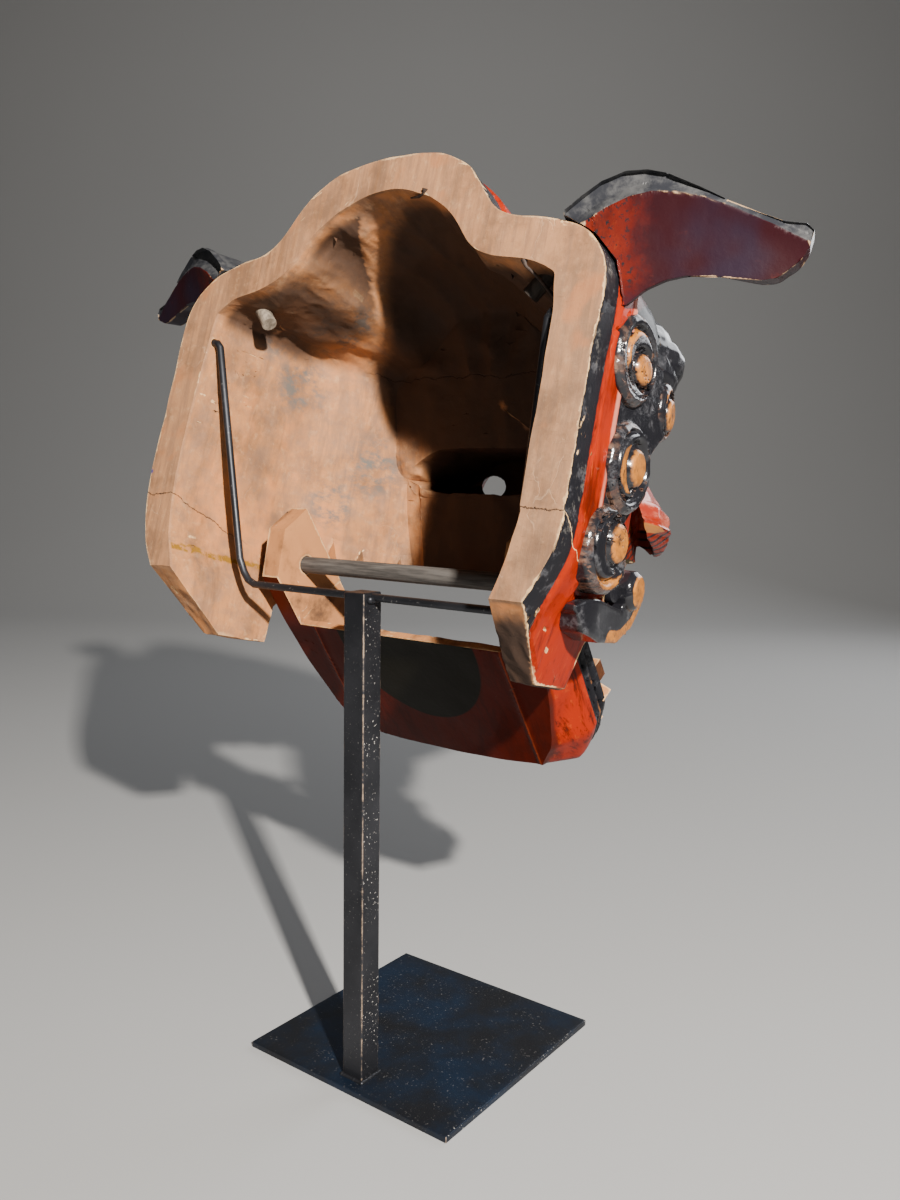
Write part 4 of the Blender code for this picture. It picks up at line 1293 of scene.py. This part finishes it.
def near_lips(place):
    """Whether a place is on the lips round the outside of the jaw."""
    y, z = place.y - JAW_PIVOT.y, place.z - JAW_PIVOT.z
    along = math.cos(JAW_OPEN) * y + math.sin(JAW_OPEN) * z
    high = math.cos(JAW_OPEN) * z - math.sin(JAW_OPEN) * y
    return 0.002 < high < 0.028 and (abs(place.x) > 0.112 or along < -0.17)


class LIONHEAD_OT_jaw(bpy.types.Operator):
    """Carve the jaw with its ridges, lips and teeth"""
    bl_idname = "lionhead.jaw"
    bl_label = "Jaw"

    mesh = 0.0067                 # longest edge before the jaw is rounded

    def execute(self, context):
        piece = solid_copy("jaw", "carved_jaw", self.mesh, 10)
        refine(piece, sizes().relief_mesh * 2.4)
        refine(piece, sizes().curl_mesh * 1.25, near_lips)
        bare = self.bare_faces(piece)
        wood = share_of(piece, bare)
        place = to_jaw(read_points(piece))
        aside, high = np.abs(place[:, 0]), place[:, 2]
        crease = 0.0010 * bump(aside, 0.092, 0.0016) * smooth(-high, 0.028, 0.031)
        grooves = -0.0028 * (bump(high, 0.0110, 0.0016) + bump(high, 0.0190, 0.0016))
        lips = between(high, 0.004, 0.006, 0.0255, 0.0265) * grooves
        dents = 0.0006 * rough(place, (30, 30, 30), 6.0)
        painted = np.where(wood < 0.01, crease + lips + dents, 0.0)
        gouges = 0.0008 * (ridges(place, (30, 30, 60), 2.0) - 0.4) * smooth(aside, 0.0, 0.02)
        push(piece, np.where(wood > 0.99, gouges, painted))
        note(piece, "edge", reach_of(place, place[(wood > 0.01) & (wood < 0.99)]))
        note_wear(piece)
        paint = worn_lacquer("Jaw Lacquer", jaw_tint, shades().brown, JAW_PIVOT, JAW_OPEN, start=0.18,
                             coat=0.05, shine=0.06)
        finish(piece, "jaw", ["jaw"], [paint, jaw_wood()], second=bare)
        return {"FINISHED"}

    def bare_faces(self, piece):
        """Faces of the floor, the inner walls and the rear edges."""
        centres, normals, _ = face_data(piece)
        place, normals = to_jaw(centres), normals @ JAW_TURN
        away = np.stack([place[:, 0], place[:, 1] + 0.06, place[:, 2] * 0.0], axis=1)
        away /= np.maximum(np.linalg.norm(away, axis=1), 1e-6)[:, None]
        inwards = -np.einsum("ij,ij->i", normals, away)
        rear = patch_means(piece, normals[:, 1]) > 0.6
        floor = (patch_means(piece, normals[:, 2]) > 0.6) & (place[:, 2] < 0.0)
        inner = (patch_means(piece, inwards) > 0.5) & (place[:, 2] < 0.0262)
        return rear | floor | inner


class LIONHEAD_OT_axle(bpy.types.Operator):
    """Turn the grey dowel that the jaw hangs on"""
    bl_idname = "lionhead.axle"
    bl_label = "Jaw Axle"

    worn_end = 0.0008             # bevel of the ends
    painted_from = 0.160          # distance from the middle, beyond which it is painted
    mesh = 0.006
    hollowing = 0.012             # how far the dowel is shaved, as a share of its radius

    def execute(self, context):
        low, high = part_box("jaw_axle")
        middle = (low + high) / 2
        bpy.ops.mesh.primitive_cylinder_add(vertices=40, radius=(high.z - low.z) / 2,
                                            depth=high.x - low.x, location=middle,
                                            rotation=(0.0, math.pi / 2, 0.0))
        piece = context.active_object
        piece.name = "turned_dowel"
        soften(piece, self.worn_end, 2)
        apply_all(piece)
        refine(piece, self.mesh)
        points = read_points(piece)
        away = points - np.array([0.0, middle.y, middle.z])
        away[:, 0] = 0.0
        points -= away * (self.hollowing * (1 + rough(points, (30, 90, 90))))[:, None]
        write_points(piece, points)
        finish(piece, "root", ["jaw_axle"], [grey_wood(ends=self.painted_from)])
        return {"FINISHED"}


class LIONHEAD_OT_stand(bpy.types.Operator):
    """Make the steel stand: plate, post, bent rod and weld beads"""
    bl_idname = "lionhead.stand"
    bl_label = "Steel Stand"

    plate = (0.200, 0.200, 0.005)
    post = (0.020, 0.020, 0.3785)
    post_y = 0.0785
    post_bevel = 0.0014
    mesh = 0.008
    # The rod's half width, its left half (x, z), and how many weld beads of which radius
    rod_half = 0.0030
    bend = ((0.1640, 0.5720), (0.1565, 0.5715), (0.1535, 0.5680), (0.1330, 0.4000),
            (0.1280, 0.3890), (0.1230, 0.3830), (0.1160, 0.3800))
    rod_beads, rod_bead = 7, 0.0030
    foot_beads, foot_bead = 64, 0.0020
    bead_mesh = 0.0006

    def execute(self, context):
        steel = blackened_steel("Plate Steel", (0.0, 0.0), self.plate[0] / 2, tuple(shades().plate))
        post_steel = blackened_steel("Post Steel", (0.0, self.post_y), self.post[0] / 2)
        rod_steel = blackened_steel("Rod Steel", (0.0, self.post_y), 1.0)
        plate = self.block("base_plate", self.plate, (0.0, 0.0, self.plate[2] / 2),
                           sizes().plate_bevel, steel)
        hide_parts("display_stand")
        middle = self.plate[2] + self.post[2] / 2
        self.block("square_post", self.post, (0.0, self.post_y, middle), self.post_bevel, post_steel)
        self.rod(rod_steel)
        self.beads(rod_steel)
        return {"FINISHED"}

    def block(self, name, size, place, width, steel):
        bpy.ops.mesh.primitive_cube_add(size=1.0, location=place, scale=size)
        piece = bpy.context.active_object
        piece.name = name
        bpy.ops.object.transform_apply(location=True, rotation=True, scale=True)
        soften(piece, width, 3)
        apply_all(piece)
        refine(piece, self.mesh)
        return finish(piece, "root", (), [steel])

    def rod(self, steel):
        """Round bar that rises inside both cheeks and carries the head."""
        points = [(x, self.post_y, z) for x, z in self.bend]
        points += [(-x, y, z) for x, y, z in reversed(points)]
        piece = bent_bar("bent_rod", points, self.rod_half, 6)
        finish(piece, "root", (), [steel])

    def beads(self, steel):
        """Lumpy weld beads where the rod crosses the post, and round the post's foot."""
        spots = []
        arm, top = self.post[0] / 2, self.plate[2] + self.post[2]
        for side in (-1, 1):
            for i in range(self.rod_beads):
                share = i / (self.rod_beads - 1) * 2 - 1
                spots.append((side * (arm + 0.0006), self.post_y + share * 0.0040, top - 0.0050,
                              self.rod_bead))
        for i in range(self.foot_beads):
            share = i / self.foot_beads * 4
            edge, along = int(share), (share % 1.0) * 2 - 1
            x, y = ((along, -1), (1, along), (-along, 1), (-1, -along))[edge]
            spots.append((x * arm, self.post_y + y * arm, self.plate[2], self.foot_bead))
        parts = []
        for index, (x, y, z, radius) in enumerate(spots):
            swell = 1.0 + 0.25 * noise.noise((index * 0.9, 0.0, 0.0))
            bpy.ops.mesh.primitive_ico_sphere_add(subdivisions=2, radius=radius * swell,
                                                  location=(x, y, z))
            parts.append(bpy.context.active_object)
        deselect()
        for part in parts:
            part.select_set(True)
        bpy.context.view_layer.objects.active = parts[0]
        bpy.ops.object.join()
        piece = bpy.context.active_object
        piece.name = "weld_beads"
        bpy.ops.object.transform_apply(location=True, rotation=True, scale=True)
        fuse = piece.modifiers.new("Fused beads", "REMESH")
        fuse.mode, fuse.voxel_size = "VOXEL", self.bead_mesh
        apply_all(piece)
        finish(piece, "root", (), [steel])


class LIONHEAD_OT_nails(bpy.types.Operator):
    """Drive two bent nails through the crown, inside the rim"""
    bl_idname = "lionhead.nails"
    bl_label = "Nails"

    # Half width of a nail, its head's and its tip's share of that, and the places along each
    # shaft, from its head, measured along the lion's head
    half, head_and_tip = 0.0011, (2.1, 0.5)
    shafts = (((-0.0385, 0.0004, 0.2812), (-0.0380, 0.0000, 0.2788), (-0.0310, -0.0030, 0.2785),
               (-0.0210, -0.0060, 0.2805)),
              ((-0.1310, -0.002, 0.2195), (-0.1325, -0.003, 0.2155), (-0.1350, -0.006, 0.2135),
               (-0.1380, -0.014, 0.2105), (-0.1400, -0.032, 0.2050), (-0.1425, -0.050, 0.1980)))

    def execute(self, context):
        rust = grey_wood("Rusty Nail", (60.0, 60.0, 60.0), (0.050, 0.030, 0.022))
        for index, shaft in enumerate(self.shafts):
            piece = bent_bar("bent_nail_%d" % (index + 1), from_local(np.array(shaft)), self.half,
                             3, self.head_and_tip)
            finish(piece, "root", (), [rust])
        return {"FINISHED"}


class LIONHEAD_OT_stage(bpy.types.Operator):
    """Lay the pale floor, and set the soft light and the camera"""
    bl_idname = "lionhead.stage"
    bl_label = "Studio"

    camera_place = (-0.4986, 0.6392, 0.4703)
    look = (0.59347, -0.79550, -0.12235)
    across = (-0.80034, -0.59936, 0.01483)
    up = (0.08513, -0.08912, 0.99238)
    lens = 30.68
    turn = math.radians(36.7)      # the sweep stands square to the camera

    def execute(self, context):
        self.floor()
        self.camera(context)
        self.light("Key", (-1.47, 1.06, 1.29), (0.0, 0.0, 0.48), 0.07, 172.0, (1.0, 0.95, 0.88))
        self.light("Backdrop", (0.9, -1.2, 2.6), (2.2, -3.2, 0.9), 1.6, 24.0, (1.0, 1.0, 1.0))
        self.light("Front", (-0.5, -2.2, 1.5), (0.0, -0.1, 0.45), 1.4, 34.0, (0.95, 0.97, 1.0))
        self.light("Side", (-1.9, -0.7, 1.1), (-0.1, 0.0, 0.45), 0.9, 4.0, (0.97, 0.98, 1.0))
        world = bpy.data.worlds.new("Soft studio")
        context.scene.world = world
        world.use_nodes = True
        back = world.node_tree.nodes["Background"]
        back.inputs["Color"].default_value = (0.55, 0.56, 0.58, 1.0)
        back.inputs["Strength"].default_value = 0.085
        return {"FINISHED"}

    def floor(self):
        """Pale sweep: a floor that curves up behind the head."""
        bpy.ops.mesh.primitive_plane_add(size=2.0, location=(0.0, 0.0, 0.0))
        piece = bpy.context.active_object
        piece.name = "studio_floor"
        piece.scale = (8.0, 5.0, 1.0)
        bpy.ops.object.transform_apply(location=True, rotation=True, scale=True)
        bpy.ops.object.mode_set(mode="EDIT")
        bpy.ops.mesh.select_mode(type="EDGE")
        bpy.ops.mesh.select_all(action="DESELECT")
        bm = bmesh.from_edit_mesh(piece.data)
        for edge in bm.edges:
            if all(vert.co.y < -4.0 for vert in edge.verts):
                edge.select_set(True)
        bmesh.update_edit_mesh(piece.data)
        bpy.ops.mesh.extrude_region_move(TRANSFORM_OT_translate={"value": (0.0, 0.0, 6.0)})
        bpy.ops.mesh.select_all(action="SELECT")
        bpy.ops.object.mode_set(mode="OBJECT")
        soften(piece, 2.6, 24)
        piece.rotation_euler = (0.0, 0.0, self.turn)
        apply_all(piece)
        pick(piece)
        bpy.ops.object.shade_smooth()
        material, pale = new_material("Studio Floor", specular=0.2), shades().floor
        tint = blend(cloud(object_place(material), 0.7, 2.0), pale, tuple(c * 0.94 for c in pale))
        dress(material, tint, 0.9)
        piece.data.materials.append(material)

    def camera(self, context):
        camera = bpy.data.cameras.new("Photo camera")
        camera.lens = self.lens
        camera.sensor_width = 36.0
        camera.clip_start = 0.01
        item = bpy.data.objects.new("Photo camera", camera)
        context.scene.collection.objects.link(item)
        right, up, back = Vector(self.across), Vector(self.up), -Vector(self.look)
        turn = Matrix((right, up, back)).transposed().to_4x4()
        item.matrix_world = Matrix.Translation(self.camera_place) @ turn
        context.scene.camera = item

    def light(self, name, place, target, size, power, tint):
        lamp = bpy.data.lights.new(name, "AREA")
        lamp.size = size
        lamp.energy = power
        lamp.color = tint
        item = bpy.data.objects.new(name, lamp)
        bpy.context.scene.collection.objects.link(item)
        item.location = place
        aim = Vector(target) - Vector(place)
        item.rotation_euler = aim.to_track_quat("-Z", "Y").to_euler()


class LIONHEAD_PT_panel(bpy.types.Panel):
    bl_label = "Lion Dance Head"
    bl_idname = "LIONHEAD_PT_panel"
    bl_space_type = "VIEW_3D"
    bl_region_type = "UI"
    bl_category = "Lion Head"

    def draw(self, context):
        for operator in OPERATORS:
            self.layout.operator(operator.bl_idname)
        for group in (context.scene.lion_head_sizes, context.scene.lion_head_colours):
            box = self.layout.box()
            for name in group.__annotations__:
                box.prop(group, name)


OPERATORS = (LIONHEAD_OT_stage, LIONHEAD_OT_shell, LIONHEAD_OT_curls, LIONHEAD_OT_scrolls,
             LIONHEAD_OT_nose, LIONHEAD_OT_brows, LIONHEAD_OT_ears, LIONHEAD_OT_jaw,
             LIONHEAD_OT_axle, LIONHEAD_OT_nails, LIONHEAD_OT_stand)
CLASSES = (LionHeadSizes, LionHeadColours, *OPERATORS, LIONHEAD_PT_panel)


def register():
    for item in CLASSES:
        bpy.utils.register_class(item)
    bpy.types.Scene.lion_head_sizes = bpy.props.PointerProperty(type=LionHeadSizes)
    bpy.types.Scene.lion_head_colours = bpy.props.PointerProperty(type=LionHeadColours)


def unregister():
    del bpy.types.Scene.lion_head_colours
    del bpy.types.Scene.lion_head_sizes
    for item in reversed(CLASSES):
        bpy.utils.unregister_class(item)


def main():
    register()
    make_groups()
    for operator in OPERATORS:
        group, name = operator.bl_idname.split(".")
        getattr(getattr(bpy.ops, group), name)()


if __name__ == "__main__":
    main()
